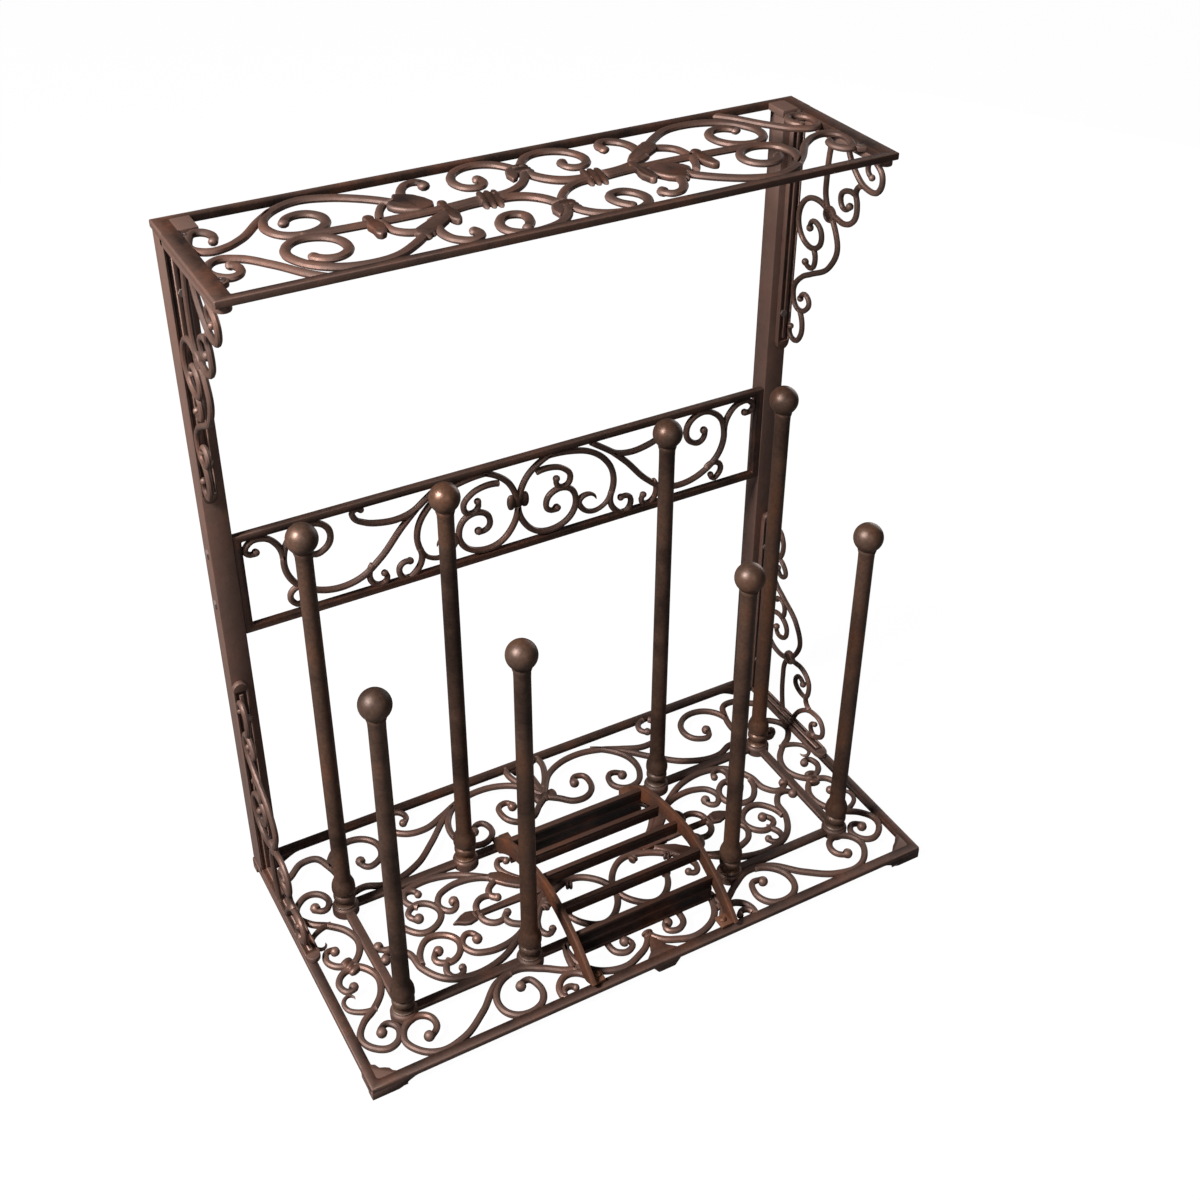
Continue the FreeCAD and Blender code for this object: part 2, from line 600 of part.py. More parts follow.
def sketched_body(label, role, corners):
    """A body and a closed sketch of straight edges, each corner bound to the sheet."""
    body = doc.addObject("PartDesign::Body", label)
    body.Label = label
    sketch = body.newObject("Sketcher::SketchObject", f"{label}_outline")
    sketch.AttachmentSupport = [(origin_plane(body, role), "")]
    sketch.MapMode = "FlatFace"
    points = [Vector(worked_out(across), worked_out(up), 0) for across, up in corners]
    for index, point in enumerate(points):
        sketch.addGeometry(Part.LineSegment(point, points[(index + 1) % len(points)]), False)
    for index in range(len(points)):
        after = (index + 1) % len(points)
        sketch.addConstraint(Sketcher.Constraint("Coincident", index, 2, after, 1))
    for index, (across, up) in enumerate(corners):
        for kind, expression in (("DistanceX", across), ("DistanceY", up)):
            value = worked_out(expression)
            number = sketch.addConstraint(Sketcher.Constraint(kind, -1, 1, index, 1, value))
            sketch.setExpression(f"Constraints[{number}]", expression)
    return body, sketch


def move(piece, x, y, z):
    """Binds a piece's place to expressions on the sheet."""
    for axis, expression in zip("xyz", (x, y, z)):
        piece.setExpression(f"Placement.Base.{axis}", expression)


def padded(label, role, corners, length):
    """A body made by one pad."""
    body, sketch = sketched_body(label, role, corners)
    pad = body.newObject("PartDesign::Pad", f"{label}_pad")
    pad.Profile = sketch
    pad.setExpression("Length", length)
    sketch.Visibility = False
    return body


BASE_TOP = "(sizes.foot_height + sizes.rail_thickness)"


def make_post(row):
    """A boot post: neck, collar, tapered shaft and ball, turned in one piece."""
    foot, top = size("post_foot_diameter") / 2, size("post_top_diameter") / 2
    collar, ball = size("collar_diameter") / 2, size("ball_diameter") / 2
    collar_low = size("collar_lift")
    collar_high = collar_low + size("collar_length")
    slope = size("collar_length") / 3
    middle = size(f"{row}_post_length") - ball
    return turned([
        (foot, 0), (foot, collar_low), (collar, collar_low + slope), (collar, collar_high - slope),
        (foot, collar_high), (top, middle - ball * 0.84), (ball * 0.88, middle - ball * 0.48),
        (ball, middle), (ball * 0.8, middle + ball * 0.6), (ball * 0.2, middle + ball),
    ])


def add_upright(name, side):
    """A square bar with its two front edges bevelled, from the base to the shelf."""
    wide, deep, bevel = "sizes.upright_width", "sizes.upright_depth", "sizes.upright_chamfer"
    corners = [("0", bevel), (bevel, "0"), (f"{wide} - {bevel}", "0"), (wide, bevel), (wide, deep),
               ("0", deep)]
    length = f"sizes.rack_height - sizes.shelf_thickness - {BASE_TOP}"
    body = padded(f"upright_{name}", "XY_Plane", corners, length)
    outer = "(sizes.rack_width / 2 - sizes.upright_inset)"
    x = f"{outer} - {wide}" if side > 0 else f"-{outer}"
    move(body, x, "sizes.base_depth / 2 - sizes.upright_depth", BASE_TOP)
    return body


# Points of a cheek's arch: share of the way from its back foot to its front foot, and share of its rise.
CHEEK_ARCH = [(0.11, 0.5), (0.41, 0.95), (0.60, 1.0), (0.81, 0.66)]


def cheek_line():
    """The middle line of a cheek, from its back foot on the bar to its front foot on the rail."""
    half = size("cheek_strap") / 2
    rise = size("cheek_rise") - half
    back = size("post_row_back") + size("bar_width") / 2 - half
    front = -half_depth + half
    arch = [(back + (front - back) * share, rise * height) for share, height in CHEEK_ARCH]
    return [(back + half / 3, 0)] + arch + [(front - half / 8, 0)]


def make_cheek():
    """An arched strap that stands across the base on two flat feet."""
    half, tall = size("cheek_strap") / 2, size("cheek_rise")
    line = cheek_line()
    arch = rod_face(line, size("cheek_strap"))
    start, end = line[0][0], line[-1][0]
    keep = slab_face(end - half, start + half, 0, tall * 2)
    strap = arch.common(keep).extrude(UP * size("cheek_thickness"))
    return stood(strap.Solids[0], Vector(0, 1, 0), UP, Vector(1, 0, 0))


def add_scraper():
    """Two arched cheeks with end plates and three blades between them."""
    gap = "sizes.cheek_gap"
    cheek_x = {"left": -size("cheek_gap") / 2 - size("cheek_thickness"), "right": size("cheek_gap") / 2}
    pieces = [formed_piece(f"scraper_cheek_{name}", make_cheek(), Vector(x, 0, base_top))
              for name, x in cheek_x.items()]
    thick = "sizes.blade_thickness"
    bars = [
        ("scraper_rear_plate", "sizes.plate_height", "sizes.post_row_back - sizes.rear_plate_setback",
         "0"),
        ("scraper_front_plate", "sizes.plate_height",
         "sizes.post_row_front - sizes.front_plate_setback", "0"),
    ]
    bars += [(f"scraper_blade_{number}", "sizes.blade_height",
              f"sizes.post_row_back - sizes.blade_{number}_setback",
              f"sizes.cheek_rise - sizes.blade_{number}_drop") for number in (1, 2, 3)]
    for label, tall, y, lift in bars:
        corners = [("0", "0"), (thick, "0"), (thick, tall), ("0", tall)]
        body = padded(label, "YZ_Plane", corners, gap)
        move(body, f"-{gap} / 2", y, f"{BASE_TOP} + {lift}")
        pieces.append(body)
    return pieces


def add_hexagons(label, places, corner_size, thickness, axis):
    """A group of equal hexagon heads or nuts, one at each place, along the given axis."""
    group = doc.addObject("Part::Compound", label)
    group.Label = label
    heads = []
    for number, (x, y, z) in enumerate(places, start=1):
        head = doc.addObject("Part::Prism", f"{label}_{number}")
        head.Polygon = 6
        head.setExpression("Circumradius", f"{corner_size} / 2")
        head.setExpression("Height", thickness)
        head.Placement = FreeCAD.Placement(Vector(), FreeCAD.Rotation(UP, axis))
        move(head, x, y, z)
        heads.append(head)
    group.Links = heads
    return group


def add_fasteners():
    """Bolt heads and nuts, as groups of separate solids."""
    down, right, left = Vector(0, 0, -1), Vector(1, 0, 0), Vector(-1, 0, 0)
    columns = ("-sizes.post_outer", "-sizes.post_inner", "sizes.post_inner", "sizes.post_outer")
    rows = ("sizes.post_row_back", "sizes.post_row_front")
    nuts = [(x, y, "sizes.boss_lift") for y in rows for x in columns]
    groups = [add_hexagons("post_nuts", nuts, "sizes.nut_size", "sizes.nut_thickness", down)]
    outer = "sizes.rack_width / 2 - sizes.upright_inset"
    middle = "sizes.base_depth / 2 - sizes.upright_depth / 2"
    heights = ("sizes.panel_bottom + sizes.panel_height / 3",
               "sizes.panel_bottom + sizes.panel_height * 0.85")
    for name, side, axis in (("left", "-", left), ("right", "", right)):
        places = [(f"{side}({outer})", middle, z) for z in heights]
        groups.append(add_hexagons(f"panel_bolts_{name}", places, "sizes.bolt_size",
                                   "sizes.bolt_head", axis))
    strap_front = "sizes.base_depth / 2 - sizes.upright_depth - sizes.strap_thickness"
    strap_x = "(sizes.rack_width / 2 - 1 - sizes.strap_width + sizes.screw_size / 2 + 0.3)"
    shelf_bottom = "sizes.rack_height - sizes.shelf_thickness"
    levels = (f"{shelf_bottom} - sizes.bracket_drop * 0.19",
              f"{shelf_bottom} - sizes.bracket_drop * 0.83",
              f"{BASE_TOP} + sizes.bracket_drop * 0.19", f"{BASE_TOP} + sizes.bracket_drop * 0.83")
    places = [(f"{side}{strap_x}", strap_front, z) for side in ("-", "") for z in levels]
    groups.append(add_hexagons("bracket_screws", places, "sizes.screw_size", "sizes.bolt_head",
                               Vector(0, -1, 0)))
    return groups


def build():
    """Makes every piece and returns them."""
    pieces = [formed_piece("base_grille", make_base())]
    boss_top = base_top + size("boss_rise")
    pieces += [formed_piece(f"boot_post_{row}_{number}", make_post(row), Vector(x, y, boss_top))
               for row, number, x, y in post_places()]
    pieces += [add_upright("left", -1), add_upright("right", 1)]
    pieces.append(formed_piece("back_panel", make_panel()))
    pieces.append(formed_piece("top_shelf", make_shelf()))
    shelf_bottom = size("rack_height") - size("shelf_thickness")
    outer = half_width - 1
    for level, upper, z in (("upper", True, shelf_bottom), ("lower", False, base_top)):
        shape = make_bracket(upper)
        twin = shape.mirror(Vector(), Vector(1, 0, 0))
        sides = (("left", shape), ("right", twin)) if upper else (("left", twin), ("right", shape))
        for (name, casting_shape), x in zip(sides, (-outer, outer)):
            place = Vector(x, upright_front(), z)
            pieces.append(formed_piece(f"{level}_bracket_{name}", casting_shape, place))
    pieces += add_scraper()
    pieces += add_fasteners()
    return pieces


def write(pieces):
    """Checks every object and writes each piece to its own file."""
    doc.recompute()
    for item in doc.Objects:
        if "Invalid" in item.State or "Error" in item.State:
            raise RuntimeError(f"{item.Label} failed: {item.State}")
    for piece in pieces:
        if piece.Shape.isNull() or not piece.Shape.isValid() or not piece.Shape.Solids:
            raise RuntimeError(f"{piece.Label} has no valid solid")
    os.makedirs("parts", exist_ok=True)
    for piece in pieces:
        piece.Shape.exportStep(f"parts/{piece.Label}.step")
        print(piece.Label, len(piece.Shape.Solids), "solid(s)", round(piece.Shape.Volume), "mm3")


write(build())
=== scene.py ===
"""Cast-iron boot rack, dressed on its packed construction frame.

Every sub-assembly is a class that builds its pieces and dresses them. Flat castings are drawn lying
down, in millimetres, with their front face up, and are then stood where they belong.
"""

import logging
import math
from dataclasses import dataclass, field, replace
from enum import Enum
from typing import Sequence, TypeVar

import bpy
from mathutils import Matrix, Vector
from mathutils.geometry import interpolate_bezier


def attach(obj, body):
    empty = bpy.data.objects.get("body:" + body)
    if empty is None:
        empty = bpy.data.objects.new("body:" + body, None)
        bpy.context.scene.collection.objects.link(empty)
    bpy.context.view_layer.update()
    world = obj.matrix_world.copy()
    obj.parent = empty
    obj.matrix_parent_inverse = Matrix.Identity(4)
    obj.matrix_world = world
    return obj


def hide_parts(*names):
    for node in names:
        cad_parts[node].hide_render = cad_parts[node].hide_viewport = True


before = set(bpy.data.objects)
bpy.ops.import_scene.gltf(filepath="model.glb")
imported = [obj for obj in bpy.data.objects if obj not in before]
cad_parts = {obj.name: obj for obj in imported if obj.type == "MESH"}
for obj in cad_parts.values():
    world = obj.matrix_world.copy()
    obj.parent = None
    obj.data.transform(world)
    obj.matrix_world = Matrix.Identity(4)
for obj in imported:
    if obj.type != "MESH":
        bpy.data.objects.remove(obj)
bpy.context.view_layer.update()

logging.basicConfig(level=logging.INFO, format="%(message)s")
log = logging.getLogger("boot_rack")

MM = 0.001
Point = tuple[float, float]
Corner = tuple[float, float, float]
Outline = tuple[Point, ...]
Thing = bpy.types.Object

STEP = 2.6  # mm between the points of a rod
ROD_ROUNDNESS = 3  # smoothness of a rod's section


@dataclass(frozen=True)
class RackSizes:
    """Sizes that several pieces share, mm. X runs across the rack, Y towards its back, Z up.

    Attributes:
        half_width: From the middle to the ends of the base and of the shelf.
        half_depth: From the middle to the front and the back of the base.
        base_top: Height of the base's rails, on which everything stands.
        shelf_low: Height of the shelf's underside.
        upright_inner: From the middle to the inner faces of the uprights.
        upright_front: Place of the uprights' front faces.
        columns: Places of the posts across the rack.
        back_row: Place of the back posts.
        front_row: Place of the front posts.
    """

    half_width: float = 300
    half_depth: float = 158
    base_top: float = 14.2
    shelf_low: float = 697.5
    upright_inner: float = 277.5
    upright_front: float = 136
    columns: tuple[float, ...] = (-241, -112, 112, 241)
    back_row: float = 53
    front_row: float = -91


RACK = RackSizes()


# ---------------------------------------------------------------- finishes
def linear(code: str) -> tuple[float, float, float, float]:
    """Turns a display colour into the linear one that shaders take.

    Args:
        code: A colour such as "#5a3a30".

    Returns:
        Linear red, green, blue and an alpha of one.
    """
    shares = [int(code[at:at + 2], 16) / 255 for at in (1, 3, 5)]
    red, green, blue = (s / 12.92 if s <= 0.04045 else ((s + 0.055) / 1.055) ** 2.4 for s in shares)
    return red, green, blue, 1.0


# Numbers of a colour mix node's sockets, whose names stand for several.
SHARE, FIRST, SECOND, MIXED = 0, 6, 7, 2


def add_node(tree: bpy.types.NodeTree, kind: str, sockets: dict[str | int, object] | None = None,
             **settings: object) -> bpy.types.Node:
    """Adds a node with its settings and links.

    Args:
        tree: The node tree.
        kind: The node's type.
        sockets: For each input, by name or number, its value or the output that feeds it.
        settings: The node's own settings.

    Returns:
        The node.
    """
    node = tree.nodes.new(kind)
    for key, value in settings.items():
        setattr(node, key, value)
    for key, value in (sockets or {}).items():
        if isinstance(value, bpy.types.NodeSocket):
            tree.links.new(value, node.inputs[key])
        else:
            node.inputs[key].default_value = value
    return node


@dataclass(frozen=True)
class CastIron:
    """Cast iron under a thin coat of brown rust, rubbed along its edges.

    Attributes:
        name: What the material is.
        deep: Colour of the darkest blotches.
        body: Main colour.
        rusty: Colour of the fresher rust.
        rubbed: Colour along the rubbed edges.
        roughness: Roughness of the main surface.
        metallic: Share of bare metal that shows.
        blotch: Size of the colour blotches, mm.
        grain: Size of the casting's sand grain, mm, coarser than real sand so that it shows.
        relief: Height of that grain, mm.
    """

    name: str
    deep: str
    body: str
    rusty: str
    rubbed: str
    roughness: float = 0.52
    metallic: float = 0.42
    blotch: float = 38.0
    grain: float = 1.5
    relief: float = 0.16

    def material(self) -> bpy.types.Material:
        """Builds the node material.

        Returns:
            The material, made once for each finish.
        """
        known = bpy.data.materials.get(self.name)
        if known:
            return known
        made = bpy.data.materials.new(self.name)
        made.use_nodes = True
        tree = made.node_tree
        tree.nodes.clear()
        place = add_node(tree, "ShaderNodeTexCoord").outputs["Object"]
        # Broad blotches of darker scale and fresher rust.
        blotches = add_node(tree, "ShaderNodeTexNoise", {
            "Vector": place, "Scale": 1 / (self.blotch * MM), "Detail": 5.0, "Roughness": 0.62})
        tints = add_node(tree, "ShaderNodeValToRGB", {"Fac": blotches.outputs["Fac"]})
        ramp = tints.color_ramp
        ramp.elements[0].position, ramp.elements[0].color = 0.34, linear(self.deep)
        ramp.elements[1].position, ramp.elements[1].color = 0.66, linear(self.rusty)
        ramp.elements.new(0.5).color = linear(self.body)
        # Fine specks, about twice the sand grain.
        specks = add_node(tree, "ShaderNodeTexNoise", {
            "Vector": place, "Scale": 1 / (2 * self.grain * MM), "Detail": 3.0})
        shades = add_node(tree, "ShaderNodeMapRange", {
            "Value": specks.outputs["Fac"], "From Min": 0.35, "From Max": 0.7, "To Min": 0.72,
            "To Max": 1.22})
        speckled = add_node(tree, "ShaderNodeMix", {
            SHARE: 0.7, FIRST: tints.outputs["Color"], SECOND: shades.outputs["Result"]},
            data_type="RGBA", blend_type="MULTIPLY")
        # Rubbed edges and high spots.
        shape = add_node(tree, "ShaderNodeNewGeometry")
        edges = add_node(tree, "ShaderNodeMapRange", {
            "Value": shape.outputs["Pointiness"], "From Min": 0.52, "From Max": 0.62, "To Max": 0.85})
        worn = add_node(tree, "ShaderNodeMix", {
            SHARE: edges.outputs["Result"], FIRST: speckled.outputs[MIXED],
            SECOND: linear(self.rubbed)}, data_type="RGBA")
        # Scale is duller where it is dark.
        polish = add_node(tree, "ShaderNodeMapRange", {
            "Value": blotches.outputs["Fac"], "From Min": 0.3, "From Max": 0.7,
            "To Min": self.roughness + 0.12, "To Max": self.roughness - 0.1})
        # Sand-cast grain over shallow waves.
        waves = add_node(tree, "ShaderNodeTexNoise", {
            "Vector": place, "Scale": 1 / (9 * self.grain * MM), "Detail": 2.0})
        sand = add_node(tree, "ShaderNodeTexNoise", {
            "Vector": place, "Scale": 1 / (self.grain * MM), "Detail": 2.0})
        low_relief = add_node(tree, "ShaderNodeBump", {
            "Height": waves.outputs["Fac"], "Strength": 0.6, "Distance": 4 * self.relief * MM})
        fine_relief = add_node(tree, "ShaderNodeBump", {
            "Height": sand.outputs["Fac"], "Normal": low_relief.outputs["Normal"], "Strength": 0.5,
            "Distance": self.relief * MM})
        shader = add_node(tree, "ShaderNodeBsdfPrincipled", {
            "Base Color": worn.outputs[MIXED], "Metallic": self.metallic,
            "Roughness": polish.outputs["Result"], "Normal": fine_relief.outputs["Normal"]})
        add_node(tree, "ShaderNodeOutputMaterial", {"Surface": shader.outputs["BSDF"]})
        return made


class Finishes(Enum):
    """The finishes of the rack, each with the record's material slot."""

    # Sand-cast iron under a thin coat of rust: dull, blotched brown, paler where it is rubbed.
    CASTING = ("rusted_iron", CastIron(
        "rust_brown_cast_iron", deep="#22140f", body="#3f2a21", rusty="#5b392b", rubbed="#947468"))
    # The same iron, smoothed by handling: a lighter, more even brown with a soft shine.
    POST = ("post_iron", CastIron(
        "handled_cast_iron", deep="#36241b", body="#553e32", rusty="#684634", rubbed="#9f897b",
        roughness=0.44, blotch=70.0))
    # Cast iron under fresher, thicker rust: orange-brown, with little metal to be seen.
    ORANGE = ("orange_rust", CastIron(
        "orange_rusted_cast_iron", deep="#27160f", body="#49291b", rusty="#653720", rubbed="#83583f",
        metallic=0.25, roughness=0.6))
    # Scraper blades and plates under old scale: nearly black, brown only in blotches.
    DARK = ("dark_iron", CastIron(
        "dark_worn_iron", deep="#0f0805", body="#20110b", rusty="#432417", rubbed="#5f4033",
        roughness=0.5, metallic=0.25))
    # Mild-steel screws and nuts gone dull: grey-brown, and finer in the grain than a casting.
    FASTENER = ("fasteners", CastIron(
        "dull_screw_steel", deep="#1f1613", body="#362723", rusty="#4a3631", rubbed="#84746e",
        roughness=0.45, metallic=0.5, grain=0.8, relief=0.05))

    @property
    def slot(self) -> str:
        """The record's material slot."""
        return self.value[0]

    @property
    def iron(self) -> CastIron:
        """The finish itself."""
        return self.value[1]


# ---------------------------------------------------------------- drawn forms
class Ending(Enum):
    """How a scroll rod ends."""

    TUCKED = "runs into another piece"
    BALL = "round knob, wider than the rod"
    BLUNT = "rounded end, hardly wider than the rod"
    TIP = "point"


class Lie(Enum):
    """Where a lying casting's two drawn axes and its front face point once it is stood."""

    FLOOR = ((1, 0, 0), (0, 1, 0), (0, 0, 1))
    WALL = ((1, 0, 0), (0, 0, 1), (0, -1, 0))
    HANGING = ((0, -1, 0), (0, 0, -1), (1, 0, 0))
    ACROSS = ((0, 1, 0), (0, 0, 1), (1, 0, 0))

    def at(self, x: float, y: float, z: float) -> Matrix:
        """The matrix that stands a casting with its drawn origin at a place.

        Args:
            x: Place across the rack, mm.
            y: Place towards the back, mm.
            z: Height, mm.

        Returns:
            The placing matrix, in metres.
        """
        turn = Matrix(self.value).transposed().to_4x4()
        return Matrix.Translation(Vector((x, y, z)) * MM) @ turn


@dataclass(frozen=True)
class Mirror:
    """Carries drawn places to their twins across a line, or half a turn round a point.

    Attributes:
        x: The line across, mm, or None to keep x.
        y: The line along, mm, or None to keep y.
    """

    x: float | None = None
    y: float | None = None

    @property
    def flips(self) -> bool:
        """Whether the twins are mirror images, and not half turned."""
        return (self.x is None) != (self.y is None)

    def carried(self, point: Point) -> Point:
        """The twin of a point.

        Args:
            point: A drawn place.

        Returns:
            Its twin place.
        """
        x, y = point
        return (x if self.x is None else 2 * self.x - x, y if self.y is None else 2 * self.y - y)


ACROSS_MIDDLE = Mirror(x=0)


@dataclass(frozen=True)
class Scroll:
    """A rod of a flat casting, given by a few points that it passes through.

    Attributes:
        points: Drawn places, mm.
        start: How it begins.
        end: How it ends.
        ball: Radius of a ball end, mm; zero takes one and a half times the rod's.
        width: Its own width, mm; zero takes the casting's.
    """

    points: tuple[Point, ...]
    start: Ending = Ending.TUCKED
    end: Ending = Ending.BALL
    ball: float = 0.0
    width: float = 0.0

    def moved(self, way: Mirror) -> "Scroll":
        """The same rod at its twin place.

        Args:
            way: The way to the twin place.

        Returns:
            The twin rod.
        """
        return replace(self, points=tuple(way.carried(point) for point in self.points))

    def line(self) -> list[Vector]:
        """Close points along the rod, on arcs that pass smoothly through the drawn ones.

        Returns:
            The points, mm.
        """
        knots = [Vector(point) for point in self.points]
        ways = self.ways(knots)
        found = [knots[0]]
        for knot, way, after, way_after in zip(knots, ways, knots[1:], ways[1:]):
            chord = (after - knot).length
            turn = math.acos(max(-1.0, min(1.0, way.dot(way_after))))
            # Handles of this length keep the curve on a round arc.
            reach = chord / (3 * math.cos(turn / 4) ** 2)
            steps = max(3, math.ceil(chord / STEP)) + 1
            found += interpolate_bezier(knot, knot + way * reach, after - way_after * reach, after,
                                        steps)[1:]
        return [Vector(point[:2]) for point in found]

    @staticmethod
    def ways(knots: Sequence[Vector]) -> list[Vector]:
        """Direction at each knot, from the circle through it and the knots beside it.

        Args:
            knots: The rod's knots.

        Returns:
            One unit vector a knot.
        """
        if len(knots) == 2:
            return [(knots[1] - knots[0]).normalized()] * 2
        found = []
        for index, knot in enumerate(knots):
            first = min(max(index - 1, 0), len(knots) - 3)
            a, b, c = knots[first:first + 3]
            into, away = (b - a), (c - b)
            share = into.length / (into.length + away.length)
            middle = into.normalized().lerp(away.normalized(), share).normalized()
            if index == first:
                middle = middle.reflect(Vector((-into.y, into.x)).normalized())
            elif index == first + 2:
                middle = middle.reflect(Vector((-away.y, away.x)).normalized())
            found.append(middle)
        return found


@dataclass(frozen=True)
class Collar:
    """A cast collar of raised bands, round rods that lie side by side.

    Attributes:
        middle: Its drawn place, mm.
        angle: The way the rods run, degrees.
        length: Along the rods, mm.
        width: Across the rods, mm.
        bands: Number of raised bands.
        proud: How much thicker it is than the casting, mm.
    """

    middle: Point
    angle: float
    length: float
    width: float
    bands: int
    proud: float = 0.0

    def moved(self, way: Mirror) -> "Collar":
        """The same collar at its twin place.

        Args:
            way: The way to the twin place.

        Returns:
            The twin collar.
        """
        angle = -self.angle if way.flips else self.angle
        return replace(self, middle=way.carried(self.middle), angle=angle)


@dataclass(frozen=True)
class Relief:
    """A leaf, bow, lobe or gusset of a casting, given by its outline.

    Attributes:
        outline: Drawn corners, mm.
        back: Height of its back over the casting's back face, mm.
        front: Height of its front over the casting's front face, mm.
        bevel: Rounding of its edges, mm.
        segments: Steps of the rounding.
    """

    outline: Outline
    back: float
    front: float
    bevel: float
    segments: int = 3

    def moved(self, way: Mirror) -> "Relief":
        """The same form at its twin place.

        Args:
            way: The way to the twin place.

        Returns:
            The twin form.
        """
        return replace(self, outline=tuple(way.carried(point) for point in self.outline))


Drawn = TypeVar("Drawn", Scroll, Collar, Relief)


def with_twins(items: Sequence[Drawn], way: Mirror) -> list[Drawn]:
    """Drawn rods, collars or reliefs and their twins.

    Args:
        items: The drawn ones, all of a kind.
        way: The way to the twins.

    Returns:
        Both, in one list.
    """
    return [*items, *(item.moved(way) for item in items)]


# ---------------------------------------------------------------- modelling
class Shop:
    """The modelling steps that every sub-assembly uses. Places are in millimetres."""

    SHARP = 28  # degrees between two faces from which their edge is rounded
    FACING = 0.9  # how well a face must look along a way to be taken for it
    SLOPE = 0.35  # mm over which a step of a moulding falls
    BAND = ((0.80, 0.10), (0.97, 0.28), (1.0, 0.5), (0.97, 0.72), (0.80, 0.90))  # shares of a collar's band
    COLLAR_END = 0.55  # radius of a collar's ends, in its widest
    BALL_SIZE, BLUNT_SIZE = 1.5, 1.12  # radius of a knob, in its rod's
    ENTRY = 0.95  # share of a knob's radius within which its rod ends
    KNOB_STEPS = 7  # from where a rod enters its knob to the knob's end
    LAST_RADIUS = 0.05  # mm, closes a knob
    NECK, NECK_REACH = 0.86, 7  # a rod thins to this before a ball, over so many radii
    TIP_END, TIP_REACH, TIP_CURVE = 0.12, 6, 0.7  # a rod thins to this at a point, over so many radii

    @staticmethod
    def pick(thing: Thing) -> Thing:
        """Selects one object and nothing else.

        Args:
            thing: The object.

        Returns:
            The same object.
        """
        bpy.ops.object.select_all(action="DESELECT")
        thing.select_set(True)
        bpy.context.view_layer.objects.active = thing
        return thing

    @classmethod
    def apply(cls, thing: Thing, kind: str, **settings: object) -> Thing:
        """Adds a modifier and applies it.

        Args:
            thing: The object.
            kind: The modifier's type.
            settings: Its settings.

        Returns:
            The object.
        """
        modifier = cls.pick(thing).modifiers.new(kind.lower(), kind)
        for key, value in settings.items():
            setattr(modifier, key, value)
        bpy.ops.object.modifier_apply(modifier=modifier.name)
        return thing

    @classmethod
    def bevelled(cls, thing: Thing, width: float, segments: int = 2) -> Thing:
        """Rounds the sharp edges of an object.

        Args:
            thing: The object.
            width: Width of the rounding, mm.
            segments: Steps of the rounding.

        Returns:
            The object.
        """
        if width <= 0:
            return thing
        return cls.apply(thing, "BEVEL", width=width * MM, segments=segments, limit_method="ANGLE",
                         angle_limit=math.radians(cls.SHARP), miter_outer="MITER_ARC")

    @classmethod
    def box(cls, low: Corner, high: Corner, bevel: float = 0.0, segments: int = 2) -> Thing:
        """A block between two corners.

        Args:
            low: Lowest corner.
            high: Highest corner.
            bevel: Rounding of its edges.
            segments: Steps of the rounding.

        Returns:
            The block.
        """
        bpy.ops.mesh.primitive_cube_add(size=1)
        block = bpy.context.object
        a, b = Vector(low) * MM, Vector(high) * MM
        block.data.transform(Matrix.Translation((a + b) / 2) @ Matrix.Diagonal((*(b - a), 1)))
        return cls.bevelled(block, bevel, segments)

    @classmethod
    def moulded(cls, low: Corner, high: Corner, face: Corner, steps: Sequence[Point],
                bevel: float = 0.5) -> Thing:
        """A block with ribs or a recess along one face.

        Args:
            low: Lowest corner.
            high: Highest corner.
            face: The way that the moulded face looks.
            steps: Pairs of inset and depth, from the face's border inwards.
            bevel: Rounding of its edges.

        Returns:
            The block.
        """
        block = cls.pick(cls.box(low, high))
        for polygon in block.data.polygons:
            polygon.select = polygon.normal.dot(Vector(face)) > cls.FACING
        bpy.ops.object.mode_set(mode="EDIT")
        bpy.ops.mesh.select_mode(type="FACE")
        for inset, depth in steps:
            bpy.ops.mesh.inset(thickness=inset * MM, depth=0)
            bpy.ops.mesh.inset(thickness=cls.SLOPE * MM, depth=depth * MM)
        bpy.ops.object.mode_set(mode="OBJECT")
        return cls.bevelled(block, bevel)

    @classmethod
    def border(cls, low: Point, high: Point, side: float, rail: float, thickness: float,
               bevel: float) -> Thing:
        """A lying rectangular border, cut open inside.

        Args:
            low: Lowest drawn corner.
            high: Highest drawn corner.
            side: Width of its two ends.
            rail: Width of its two long rails.
            thickness: Its thickness.
            bevel: Rounding of its edges.

        Returns:
            The border.
        """
        bpy.ops.mesh.primitive_plane_add(size=1)
        plate = bpy.context.object
        middle = Vector(((low[0] + high[0]) / 2, (low[1] + high[1]) / 2, 0)) * MM
        spread = Vector((high[0] - low[0], high[1] - low[1], 0)) * MM
        plate.data.transform(Matrix.Translation(middle) @ Matrix.Diagonal((spread.x, spread.y, 1, 1)))
        bpy.ops.object.mode_set(mode="EDIT")
        bpy.ops.mesh.select_all(action="SELECT")
        bpy.ops.mesh.inset(thickness=rail * MM)
        # The opening now has the rails' width all round, and its ends are pulled in to the sides.
        bpy.ops.transform.resize(value=(1 - 2 * (side - rail) * MM / (spread.x - 2 * rail * MM), 1, 1),
                                 center_override=middle)
        bpy.ops.mesh.delete(type="ONLY_FACE")
        bpy.ops.mesh.select_all(action="SELECT")
        bpy.ops.mesh.extrude_region_move(
            TRANSFORM_OT_translate={"value": (0, 0, thickness * MM)})
        bpy.ops.mesh.select_all(action="SELECT")
        bpy.ops.mesh.normals_make_consistent(inside=False)
        bpy.ops.object.mode_set(mode="OBJECT")
        return cls.bevelled(plate, bevel, 3)

